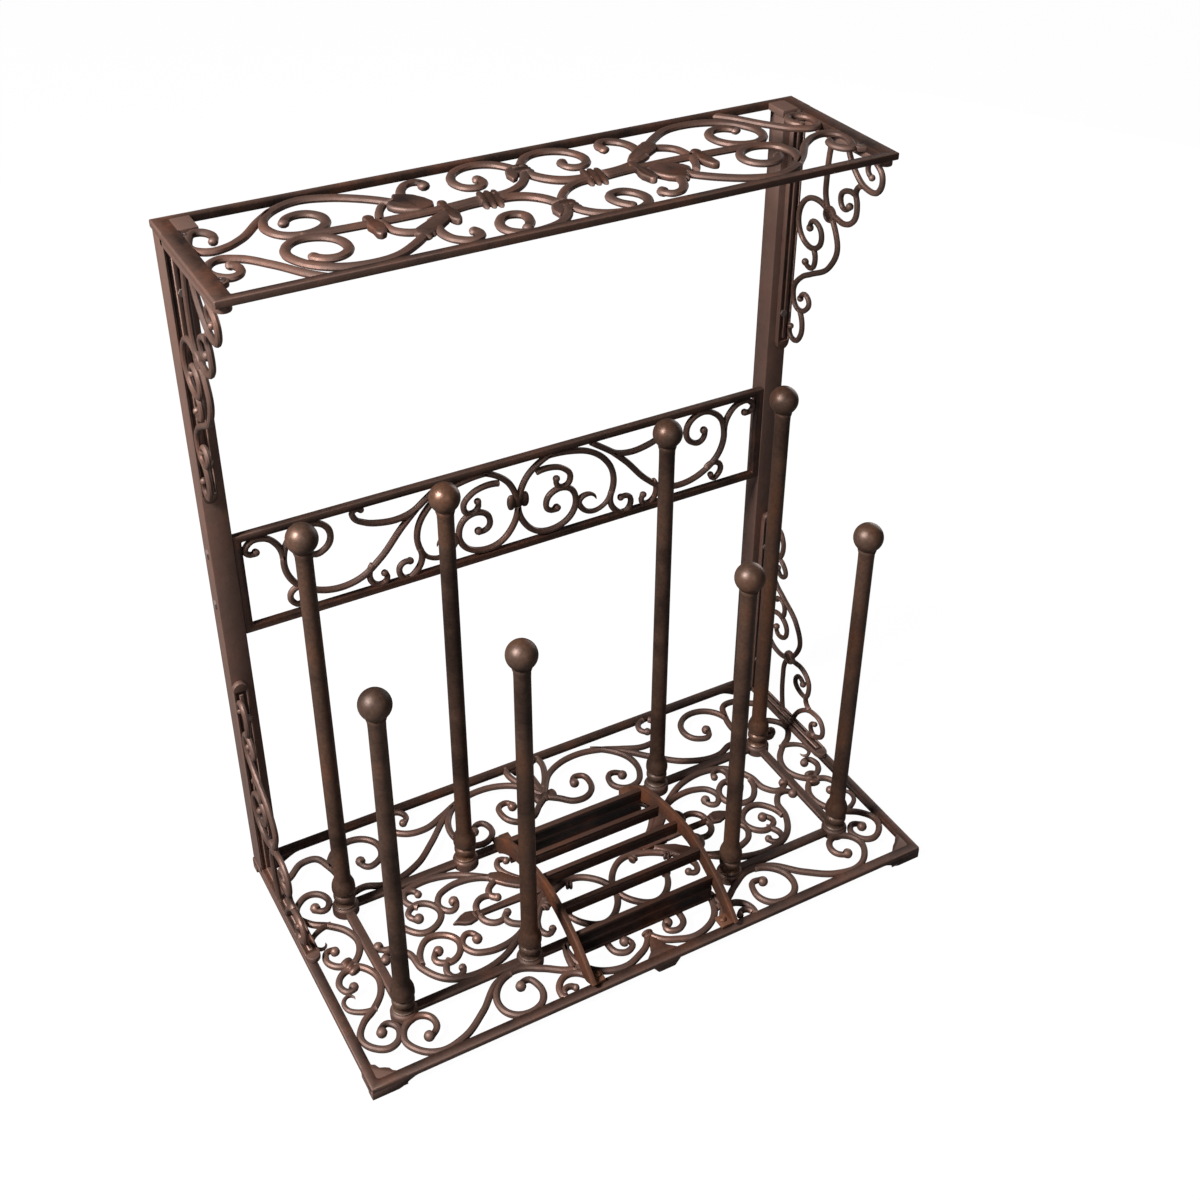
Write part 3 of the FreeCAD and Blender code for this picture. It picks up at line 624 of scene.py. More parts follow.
    @classmethod
    def plate(cls, outline: Sequence[Point], low: float, high: float, bevel: float = 0.6,
              segments: int = 2) -> Thing:
        """A lying plate of any outline.

        Args:
            outline: Its drawn corners.
            low: Height of its back face.
            high: Height of its front face.
            bevel: Rounding of its edges.
            segments: Steps of the rounding.

        Returns:
            The plate.
        """
        bpy.ops.mesh.primitive_circle_add(vertices=len(outline), fill_type="NGON")
        blank = bpy.context.object
        for vertex, (x, y) in zip(blank.data.vertices, outline):
            vertex.co = Vector((x, y, low)) * MM
        bpy.ops.object.mode_set(mode="EDIT")
        bpy.ops.mesh.select_all(action="SELECT")
        bpy.ops.mesh.extrude_region_move(
            TRANSFORM_OT_translate={"value": (0, 0, (high - low) * MM)})
        bpy.ops.mesh.select_all(action="SELECT")
        bpy.ops.mesh.normals_make_consistent(inside=False)
        bpy.ops.object.mode_set(mode="OBJECT")
        return cls.bevelled(blank, bevel, segments)

    @classmethod
    def turned(cls, profile: Sequence[Point], sides: int = 40) -> Thing:
        """A turned piece that stands on the drawn origin.

        Args:
            profile: Pairs of radius and height, bottom to top.
            sides: Steps round it.

        Returns:
            The piece.
        """
        first, height = profile[0]
        bpy.ops.mesh.primitive_circle_add(vertices=sides, radius=first * MM, fill_type="NGON",
                                          location=(0, 0, height * MM))
        bpy.ops.object.transform_apply(location=True, rotation=False, scale=False)
        piece = bpy.context.object
        bpy.ops.object.mode_set(mode="EDIT")
        bpy.ops.mesh.select_all(action="SELECT")
        for (radius, low), (radius_after, high) in zip(profile, profile[1:]):
            bpy.ops.mesh.extrude_region_move(
                TRANSFORM_OT_translate={"value": (0, 0, (high - low) * MM)})
            share = radius_after / radius
            bpy.ops.transform.resize(value=(share, share, 1), center_override=(0, 0, high * MM))
        bpy.ops.mesh.select_all(action="SELECT")
        bpy.ops.mesh.normals_make_consistent(inside=False)
        bpy.ops.object.mode_set(mode="OBJECT")
        return piece

    @classmethod
    def collar(cls, item: Collar, low: float, top: float) -> Thing:
        """A banded collar of a lying casting.

        Args:
            item: The collar.
            low: Height of the casting's back face.
            top: Height of its front face.

        Returns:
            The collar's mesh.
        """
        profile = [(cls.COLLAR_END, -0.5)]
        for band in range(item.bands):
            profile += [(radius, (band + along) / item.bands - 0.5) for radius, along in cls.BAND]
        profile.append((cls.COLLAR_END, 0.5))
        spool = cls.turned([(radius, along * item.length) for radius, along in profile], sides=20)
        stretch = Matrix.Diagonal((item.width / 2, (top - low + item.proud) / 2, 1, 1))
        lay = Matrix.Rotation(math.radians(90), 4, "Y") @ Matrix.Rotation(math.radians(90), 4, "Z")
        turn = Matrix.Rotation(math.radians(item.angle), 4, "Z")
        spool.data.transform(Lie.FLOOR.at(*item.middle, (low + top) / 2) @ turn @ lay @ stretch)
        return spool

    @classmethod
    def relief(cls, item: Relief, low: float, top: float) -> Thing:
        """A relief of a lying casting.

        Args:
            item: The relief.
            low: Height of the casting's back face.
            top: Height of its front face.

        Returns:
            The relief's mesh.
        """
        return cls.plate(item.outline, low + item.back, top + item.front, item.bevel, item.segments)

    @classmethod
    def rods(cls, scrolls: Sequence[Scroll], width: float, top: float, flush: bool = False,
             depth: float = 0.0) -> Thing:
        """All the scroll rods of a lying casting.

        Args:
            scrolls: The rods.
            width: Their usual width.
            top: Height of the rods' front.
            flush: Whether ball ends keep to that height too, and stand proud only at the back.
            depth: Depth of the rods through the casting; zero takes the width.

        Returns:
            One mesh of all the rods.
        """
        data = bpy.data.curves.new("rods", "CURVE")
        data.dimensions = "3D"
        data.bevel_depth = MM
        data.bevel_resolution = ROD_ROUNDNESS
        data.use_fill_caps = True
        for scroll in scrolls:
            radius = (scroll.width or width) / 2
            stations = cls.stations(scroll, radius)
            spline = data.splines.new("POLY")
            spline.points.add(len(stations) - 1)
            for point, (place, wide) in zip(spline.points, stations):
                height = top - (wide if flush and wide > radius else radius)
                point.co = (place.x * MM, place.y * MM, height * MM, 1)
                point.radius = wide
        curve = bpy.data.objects.new("rods", data)
        bpy.context.collection.objects.link(curve)
        cls.pick(curve)
        bpy.ops.object.convert(target="MESH")
        thing = bpy.context.object
        if depth:
            squeeze = Matrix.Diagonal((1, 1, depth / width, 1))
            lift = Lie.FLOOR.at(0, 0, top)
            thing.data.transform(lift @ squeeze @ lift.inverted())
        return thing

    @classmethod
    def stations(cls, scroll: Scroll, radius: float) -> list[tuple[Vector, float]]:
        """Places and radii along a rod, with its endings.

        Args:
            scroll: The rod.
            radius: Its usual radius.

        Returns:
            Pairs of place and radius.
        """
        found = [(place, radius) for place in scroll.line()]
        for ending in (scroll.end, scroll.start):
            found = cls.ended(found, ending, radius, scroll.ball)
            found.reverse()
        return found

    @classmethod
    def ended(cls, line: list[tuple[Vector, float]], ending: Ending, radius: float,
              ball: float) -> list[tuple[Vector, float]]:
        """Shapes the far end of a rod.

        Args:
            line: Places and radii.
            ending: How the rod ends.
            radius: Its usual radius.
            ball: Radius of a ball, or zero.

        Returns:
            The new places and radii.
        """
        if ending is Ending.TUCKED:
            return line
        tip, way = line[-1][0], (line[-1][0] - line[-2][0]).normalized()

        def share(place: Vector, radii: float) -> float:
            """How far a place is from the tip, as a share of so many radii, at most one."""
            return min(1.0, (tip - place).length / (radii * radius))

        if ending is Ending.TIP:
            return [(place, wide * (cls.TIP_END + (1 - cls.TIP_END)
                                    * share(place, cls.TIP_REACH) ** cls.TIP_CURVE))
                    for place, wide in line]
        is_ball = ending is Ending.BALL
        knob = (ball or cls.BALL_SIZE * radius) if is_ball else cls.BLUNT_SIZE * radius
        neck = cls.NECK if is_ball else 1.0
        kept = [(place, wide * (neck + (1 - neck) * share(place, cls.NECK_REACH)))
                for place, wide in line if (tip - place).length > cls.ENTRY * knob]
        opening = math.asin(min(cls.ENTRY, kept[-1][1] / knob))
        for step in range(cls.KNOB_STEPS + 1):
            angle = opening + (math.pi - opening) * step / cls.KNOB_STEPS
            kept.append((tip - way * knob * math.cos(angle),
                         max(cls.LAST_RADIUS, knob * math.sin(angle))))
        return kept

    @classmethod
    def joined(cls, name: str, parts: Sequence[Thing], place: Matrix | None = None,
               smooth: float = 35.0) -> Thing:
        """Joins parts into one named piece and stands it in place.

        Args:
            name: The piece's name.
            parts: Its parts.
            place: The placing matrix.
            smooth: Edges flatter than this angle are shaded smooth.

        Returns:
            The piece, with its object at the origin.
        """
        bpy.ops.object.select_all(action="DESELECT")
        for part in parts:
            part.select_set(True)
        bpy.context.view_layer.objects.active = parts[0]
        if len(parts) > 1:
            bpy.ops.object.join()
        piece = bpy.context.object
        if place is not None:
            piece.data.transform(place)
            if place.determinant() < 0:
                piece.data.flip_normals()
        cls.pick(piece)
        bpy.ops.object.shade_smooth_by_angle(angle=math.radians(smooth))
        piece.name = piece.data.name = name
        return piece

    @staticmethod
    def twin(thing: Thing, name: str, place: Matrix) -> Thing:
        """A copy with a mesh of its own.

        Args:
            thing: The piece to copy.
            name: The copy's name.
            place: The matrix from the piece to its copy.

        Returns:
            The copy.
        """
        copy = thing.copy()
        copy.data = thing.data.copy()
        bpy.context.collection.objects.link(copy)
        copy.data.transform(place)
        if place.determinant() < 0:
            copy.data.flip_normals()
        copy.name = copy.data.name = name
        return copy

    @classmethod
    def pair(cls, thing: Thing) -> list[Thing]:
        """A part and its mirror image across the rack's middle."""
        return [thing, cls.twin(thing, thing.name, mirrored("X"))]

    @classmethod
    def spread(cls, pattern: Thing, places: Sequence[Corner]) -> list[Thing]:
        """Copies a pattern to its places, and removes the pattern.

        Args:
            pattern: The part to copy, which stands on the drawn origin.
            places: Where the copies stand.

        Returns:
            The copies.
        """
        copies = [cls.twin(pattern, pattern.name, Lie.FLOOR.at(*place)) for place in places]
        bpy.data.objects.remove(pattern)
        return copies


def mirrored(axis: str) -> Matrix:
    """The mirror matrix of one axis.

    Args:
        axis: X, Y or Z.

    Returns:
        The matrix.
    """
    return Matrix.Diagonal([-1 if axis == letter else 1 for letter in "XYZ"] + [1])


# ---------------------------------------------------------------- sub-assemblies
@dataclass
class SubAssembly:
    """A group of pieces that are built and dressed together.

    Attributes:
        finish: The finish of its pieces.
        pieces: The built pieces.
    """

    finish: Finishes
    pieces: list[Thing] = field(default_factory=list)

    def build(self) -> None:
        """Builds the pieces."""
        raise NotImplementedError

    def keep(self, piece: Thing, *nodes: str) -> Thing:
        """Takes a finished piece into the sub-assembly.

        Args:
            piece: The piece.
            nodes: The construction nodes that it stands for.

        Returns:
            The piece.
        """
        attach(piece, "root")
        if nodes:
            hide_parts(*nodes)
        self.pieces.append(piece)
        log.info("%s: %d faces", piece.name, len(piece.data.polygons))
        return piece

    def dress(self) -> None:
        """Gives every piece its finish."""
        for piece in self.pieces:
            piece.data.materials.clear()
            piece.data.materials.append(self.finish.iron.material())


TUCKED, BALL, BLUNT, TIP = Ending.TUCKED, Ending.BALL, Ending.BLUNT, Ending.TIP


@dataclass
class BaseCasting(SubAssembly):
    """The scroll-work base with its rails, bars, bosses and feet."""

    low: float = 8
    top: float = RACK.base_top
    rail: float = 10
    rod: float = 7.0
    bar: float = 10
    stem_y: float = -19  # the medallion and the side scrolls are the same on both sides of it
    inset: float = 0.4  # from the outer faces to the seats of the uprights
    foot_inset: float = 0.15
    foot_depth: float = 10

    SIDE_AND_MEDALLION = (
        Scroll(((-268, -103), (-262, -96), (-254, -102), (-255, -114), (-267, -122), (-280, -116),
                (-287, -101), (-279, -86), (-264, -75), (-251, -60), (-247, -42), (-253, -28),
                (-262, -20)), BALL, TUCKED),
        Scroll(((-262, -76), (-277, -73), (-286, -64), (-285, -54), (-279, -51), (-275, -57)),
               TUCKED, TIP, width=5.8),
        Scroll(((-268, -22), (-279, -28), (-282, -38), (-276, -46), (-271, -43)), ball=4.8),
        Scroll(((-233, -28), (-229, -22), (-222, -21), (-211, -31), (-207, -53), (-188, -78),
                (-167, -84), (-138, -80), (-108, -62), (-86, -43), (-63, -26)), BALL, TUCKED),
        Scroll(((-185, -42), (-192, -49), (-183, -59), (-166, -51), (-163, -40), (-173, -26),
                (-187, -23), (-200, -34), (-205, -50)), BALL, TUCKED),
        Scroll(((-180, -56), (-186, -63), (-188, -71), (-184, -78), (-177, -78), (-173, -71)),
               TUCKED, BALL, ball=4.0),
        Scroll(((-146, -46), (-150, -36), (-160, -42), (-157, -58), (-144, -65), (-126, -66),
                (-111, -62), (-101, -56)), BALL, TUCKED),
        Scroll(((-98, -51), (-104, -48), (-110, -42), (-111, -35), (-106, -30)), TUCKED, TUCKED),
        Scroll(((-68, -33), (-80, -46), (-87, -58), (-88, -68), (-83, -74), (-77, -70)), ball=4),
        Scroll(((-131, -21), (-128, -32), (-119, -37), (-111, -35), (-106, -30)), ball=4.2),
    )
    OUTER = (
        Scroll(((-232, -127), (-224, -124), (-221, -113), (-231, -102), (-244, -105), (-253, -118),
                (-246, -137), (-230, -147), (-206, -144), (-178, -126), (-151, -102), (-128, -98),
                (-108, -108), (-86, -122), (-76, -124)), BALL, TUCKED),
        Scroll(((-135, -117), (-127, -113), (-120, -124), (-124, -141), (-141, -148), (-158, -140),
                (-162, -124), (-153, -107), (-137, -99)), BALL, TUCKED),
        Scroll(((-105, -150), (-102, -132), (-90, -126), (-78, -132), (-74, -150)), TUCKED, TUCKED),
        Scroll(((-104, -146), (-98, -139), (-91, -143)), ball=3.6),
        Scroll(((-82, -127), (-81, -111), (-76, -94)), TUCKED, TUCKED),
        Scroll(((-292, 110), (-278, 114), (-258, 128), (-245, 127), (-237, 112), (-236, 70)),
               TUCKED, TUCKED),
        Scroll(((-236, 107), (-228, 124), (-212, 133), (-193, 130), (-182, 115), (-190, 94),
                (-203, 92), (-206, 102))),
        Scroll(((-236, 60), (-216, 68), (-198, 61), (-157, 71), (-133, 91), (-104, 119), (-92, 127)),
               TUCKED, TUCKED),
        Scroll(((0, 96), (6, 106), (18, 122), (38, 133), (62, 136), (88, 130), (107, 121),
                (131, 112), (152, 116), (164, 131), (158, 148)), TUCKED, TUCKED),
        Scroll(((152, 150), (143, 145), (142, 135), (147, 131)), ball=4.4),
        Scroll(((77, 136), (96, 123), (108, 104), (107, 80), (96, 66), (78, 67), (71, 79), (80, 92),
                (88, 84))),
        Scroll(((0, 94), (11, 86), (25, 74), (40, 74), (52, 90), (48, 105), (39, 105), (37, 98))),
        Scroll(((3, 106), (15, 125), (20, 144), (19, 152)), TUCKED, TUCKED),
        Scroll(((74, -42), (50, -26), (29, -22), (9, -35), (0, -54)), TUCKED, TUCKED),
        Scroll(((0, -54), (9, -76), (29, -88), (49, -76), (56, -60))),
        Scroll(((0, -120), (10, -133), (21, -139), (36, -144), (51, -142), (71, -128), (77, -113),
                (77, -94)), TUCKED, TUCKED),
        Scroll(((35, -90), (40, -110), (36, -126), (26, -129), (19, -122), (24, -117))),
    )
    SPEAR = ((-160, -19), (-155, -21.2), (-149, -25), (-143, -27), (-137, -25.5), (-132, -22),
             (-110, -22.5), (-78, -23.5), (-78, -14.5), (-110, -15.5), (-132, -16), (-137, -12.5),
             (-143, -11), (-149, -13), (-155, -16.8))
    LEAF = ((-105, -60), (-99, -62), (-89, -58), (-81, -48), (-72, -38), (-63, -30), (-64, -24),
            (-74, -27), (-84, -32), (-93, -40), (-100, -48), (-105, -54))
    STEM = ((-80, -24), (-62, -24.4), (-51, -25), (-51, -23), (-46, -23.6), (-41, -22), (-36, -20),
            (-36, -18), (-41, -16), (-46, -14.4), (-51, -15), (-51, -13), (-62, -13.6), (-80, -14))
    GUSSET = ((299.6, -157.6), (299.6, -131), (291, -131.5), (287, -134), (285, -138.5), (280.5, -140.5),
              (277, -143), (275.5, -146.5), (272, -149), (266, -157.6))
    FAN = ((-22, -153), (-9, -141), (-4.5, -131), (-4, -117), (4, -117), (4.5, -131), (9, -141),
           (22, -153))
    BACK_STEM = ((-4, 95), (4, 153))
    SIDE_RELIEFS = (Relief(GUSSET, back=-6.8, front=-0.03, bevel=0.5, segments=2),
                    Relief(SPEAR, back=0.6, front=0, bevel=2.0),
                    Relief(STEM, back=0.5, front=0.4, bevel=1.6))
    LEAVES = (Relief(LEAF, back=0.4, front=0.3, bevel=2.4),)
    MIDDLE_RELIEFS = (Relief(FAN, back=0.8, front=-0.6, bevel=1.2, segments=2),)
    MIDDLE_COLLARS = (Collar((0, 95), angle=0, length=25, width=13, bands=3, proud=2.2),
                      Collar((0, -121), angle=90, length=9, width=12, bands=2, proud=2.2))
    SIDE_COLLARS = (Collar((264.5, -19), angle=68, length=19, width=14, bands=3, proud=2.4),
                    Collar((134, -19), angle=0, length=8, width=13, bands=2, proud=1.8),
                    Collar((36.7, -28), angle=25, length=7, width=9, bands=2, proud=2.2),
                    Collar((69, -41), angle=-40, length=7, width=9.5, bands=2, proud=2.2))
    BOSS = ((9, 4), (11.5, 4.6), (13, 6.4), (13, 13.6), (12.3, 15.4), (10.6, 16.6), (8.4, 17))
    FOOT = ((300, 0.6), (299.4, 0), (275, 0), (272, 0.8), (268.5, 3), (264, 5.6), (259, 8), (252, 9.2),
            (248, 11.5), (300, 11.5))
    MIDDLE_FOOT = ((-9, 0), (9, 0), (13, 5.5), (15, 8.2), (16, 11), (-16, 11), (-15, 8.2), (-13, 5.5))

    def build(self) -> None:
        """Builds the base as one casting."""
        upside = Mirror(y=self.stem_y)
        scrolls = with_twins([*with_twins(self.SIDE_AND_MEDALLION, upside), *self.OUTER], ACROSS_MIDDLE)
        side_reliefs = [*self.SIDE_RELIEFS, *with_twins(self.LEAVES, upside)]
        reliefs = [*self.MIDDLE_RELIEFS, *with_twins(side_reliefs, ACROSS_MIDDLE)]
        collars = [*self.MIDDLE_COLLARS, *with_twins(self.SIDE_COLLARS, ACROSS_MIDDLE)]
        border = Shop.border((-RACK.half_width, -RACK.half_depth), (RACK.half_width, RACK.half_depth),
                             self.rail, self.rail, self.top - self.low, bevel=1.5)
        border.data.transform(Lie.FLOOR.at(0, 0, self.low))
        parts = [border, Shop.rods(scrolls, self.rod, (self.low + self.top + self.rod) / 2)]
        parts += self.bars() + self.bosses() + self.feet() + self.blocks()
        parts += [Shop.relief(item, self.low, self.top) for item in reliefs]
        parts += [Shop.collar(item, self.low, self.top) for item in collars]
        self.keep(Shop.joined("base_casting", parts), "base_grille")

    def bars(self) -> list[Thing]:
        """The rounded bars between the bosses.

        Returns:
            One bar along each row of posts, and one across at each end.
        """
        half = self.bar / 2
        back, front = RACK.back_row, RACK.front_row
        left, right = RACK.columns[0], RACK.columns[-1]
        spans = [((left, front - half), (right, front + half)), ((left, back - half), (right, back + half)),
                 ((left - half, front), (left + half, back)), ((right - half, front), (right + half, back))]
        return [Shop.box((*low, self.low), (*high, self.top), bevel=2.4, segments=4)
                for low, high in spans]

    def bosses(self) -> list[Thing]:
        """The round bosses under the posts."""
        places = [(x, y, 0) for y in (RACK.back_row, RACK.front_row) for x in RACK.columns]
        return Shop.spread(Shop.turned(self.BOSS), places)

    def feet(self) -> list[Thing]:
        """Corner feet with an ogee flank, and a shallow foot under the middle of each long rail.

        Returns:
            Six feet.
        """
        place = Lie.WALL.at(0, self.foot_inset - RACK.half_depth, 0)
        left_foot = [ACROSS_MIDDLE.carried(point) for point in self.FOOT]
        made = []
        for outline in (self.FOOT, left_foot, self.MIDDLE_FOOT):
            foot = Shop.plate(outline, -self.foot_depth, 0, bevel=1.1, segments=3)
            foot.data.transform(place)
            made.append(foot)
        return made + [Shop.twin(foot, foot.name, mirrored("Y")) for foot in made]

    def blocks(self) -> list[Thing]:
        """The seats of the uprights and the stem behind the middle.

        Returns:
            Two seats and the stem.
        """
        seat = Shop.box((RACK.upright_inner, RACK.upright_front, self.low + 0.3),
                        (RACK.half_width - self.inset, RACK.half_depth - self.inset, self.top),
                        bevel=0.8)
        low, high = self.BACK_STEM
        stem = Shop.box((*low, self.low), (*high, self.top), bevel=2.0, segments=3)
        return [*Shop.pair(seat), stem]


@dataclass
class BootPosts(SubAssembly):
    """Eight ball-topped boot posts, turned alike in each row."""

    waist: float = 7.75  # radius half-way up
    top: float = 7.5  # radius under the swelling that carries the ball
    ball: float = 14.0
    crown: float = 0.5  # radius of the small flat on the ball
    seat: float = 17.0
    turn_step: float = 67  # degrees from post to post
    rows: tuple[tuple[str, float, float], ...] = (("back", RACK.back_row, 446),
                                                  ("front", RACK.front_row, 375))

    FOOTING = ((10.4, 0), (10.6, 1.4), (9.2, 2.8), (8.3, 4.6), (8.2, 6.8), (8.8, 7.6), (10.2, 8.4),
               (10.7, 9.6), (10.8, 11.6), (10.6, 13.6), (10.0, 14.8), (8.7, 15.5), (8.4, 16.4),
               (8.6, 17.2), (10.3, 17.7), (11.1, 18.6), (11.4, 20.4), (11.4, 23.6), (11.0, 27),
               (10.0, 30.2), (8.8, 33.0), (8.0, 36), (7.9, 70))
    NECK = ((0, -24), (0.2, -17), (1.2, -13.6), (0.6, -12.4))  # over the top radius and the ball's middle

    def profile(self, length: float) -> list[Point]:
        """Radius and height pairs of a post.

        Args:
            length: Boss to ball top.

        Returns:
            The profile, bottom to top.
        """
        middle = length - self.ball
        neck = [(self.top + more, middle + rise) for more, rise in self.NECK]
        ball = [(self.ball * math.sin(angle), middle - self.ball * math.cos(angle))
                for angle in (math.radians(step) for step in range(40, 180, 10))]
        return [*self.FOOTING, (self.waist, length / 2), *neck, *ball, (self.crown, length)]

    def build(self) -> None:
        """Builds one post a row and copies it along the row, each turned by another angle."""
        for row, y, length in self.rows:
            pattern = Shop.joined("post", [Shop.turned(self.profile(length), sides=48)], smooth=50)
            for number, x in enumerate(RACK.columns, start=1):
                turn = Matrix.Rotation(math.radians(self.turn_step * number + y), 4, "Z")
                self.keep(Shop.twin(pattern, f"post_{row}_{number}", Lie.FLOOR.at(x, y, self.seat) @ turn),
                          f"boot_post_{row}_{number}")
            bpy.data.objects.remove(pattern)


@dataclass
class Uprights(SubAssembly):
    """Two uprights with a moulded front."""

    inner: float = RACK.upright_inner
    outer: float = 298.5
    front: float = RACK.upright_front
    back: float = RACK.half_depth
    low: float = RACK.base_top
    high: float = RACK.shelf_low

    MOULDING = ((1.6, 0), (1.4, -1.2), (3.0, 1.2))

    def build(self) -> None:
        """Builds the right upright and mirrors it."""
        bar = Shop.moulded((self.inner, self.front, self.low), (self.outer, self.back, self.high),
                           (0, -1, 0), self.MOULDING, bevel=0.7)
        right = Shop.joined("upright_moulded_right", [bar])
        self.keep(right, "upright_right")
        left = Shop.twin(right, "upright_moulded_left", mirrored("X"))
        self.keep(left, "upright_left")


@dataclass
class BackPanel(SubAssembly):
    """The scroll-work panel between the uprights."""

    half: float = RACK.upright_inner
    low: float = 304.5
    high: float = 410.5
    rail: float = 7.6
    rod: float = 6.5
    rod_inset: float = 0.3  # from the front to the rods
    front: float = 137
    thickness: float = 7

    SCROLLS = (
        Scroll(((0, 358), (3, 370), (10, 384), (22, 395), (36, 402)), TUCKED, TUCKED),
        Scroll(((20, 386), (35, 387), (49, 382), (57, 371), (53, 362), (44, 363), (42, 372)), ball=3.7),
        Scroll(((0, 354), (6, 333), (21, 318), (41, 316), (58, 326), (63, 341), (56, 357), (42, 360),
                (31, 351), (33, 339), (42, 338)), ball=4.2),
        Scroll(((32, 401), (57, 399), (77, 393), (94, 380), (104, 362), (104, 341), (95, 326),
                (82, 322), (70, 329), (67, 340), (76, 344), (86, 335)), TUCKED, TIP),
        Scroll(((80, 402), (95, 391), (108, 382), (123, 378.5), (140, 380), (155, 385), (165, 393),
                (166, 400), (158, 400)), ball=3.4),
        Scroll(((104, 384), (119, 369), (143, 341), (163, 326), (186, 322), (208, 328), (229, 347),
                (234, 368), (224, 393), (203, 400), (189, 387), (194, 370), (206, 367), (210, 378)),
               ball=4.2),
        Scroll(((234, 372), (238, 388), (250, 399), (263, 398), (267, 389), (258, 386)), ball=3.8),
        Scroll(((104, 340), (102, 326), (107, 316), (116, 309)), TUCKED, TUCKED),
        Scroll(((117, 309), (125, 317), (123, 327), (114, 328)), ball=3.7),
        Scroll(((151, 337), (155, 327), (152, 316), (145, 312), (138, 316), (140, 323)), ball=3.6),
        Scroll(((214, 333), (223, 337), (231, 332), (230, 322), (223, 318), (220, 323)), ball=3.4),
    )
    TIE = Collar((0, 360), angle=0, length=22, width=17, bands=3)

    def build(self) -> None:
        """Builds the panel lying down and stands it up."""
        parts = [Shop.border((-self.half, self.low), (self.half, self.high), self.rail, self.rail,
                             self.thickness, bevel=1.2),
                 Shop.rods(with_twins(self.SCROLLS, ACROSS_MIDDLE), self.rod,
                           self.thickness - self.rod_inset, flush=True),
                 Shop.collar(self.TIE, 0, self.thickness)]
        place = Lie.WALL.at(0, self.front + self.thickness, 0)
        self.keep(Shop.joined("panel_casting", parts, place), "back_panel")


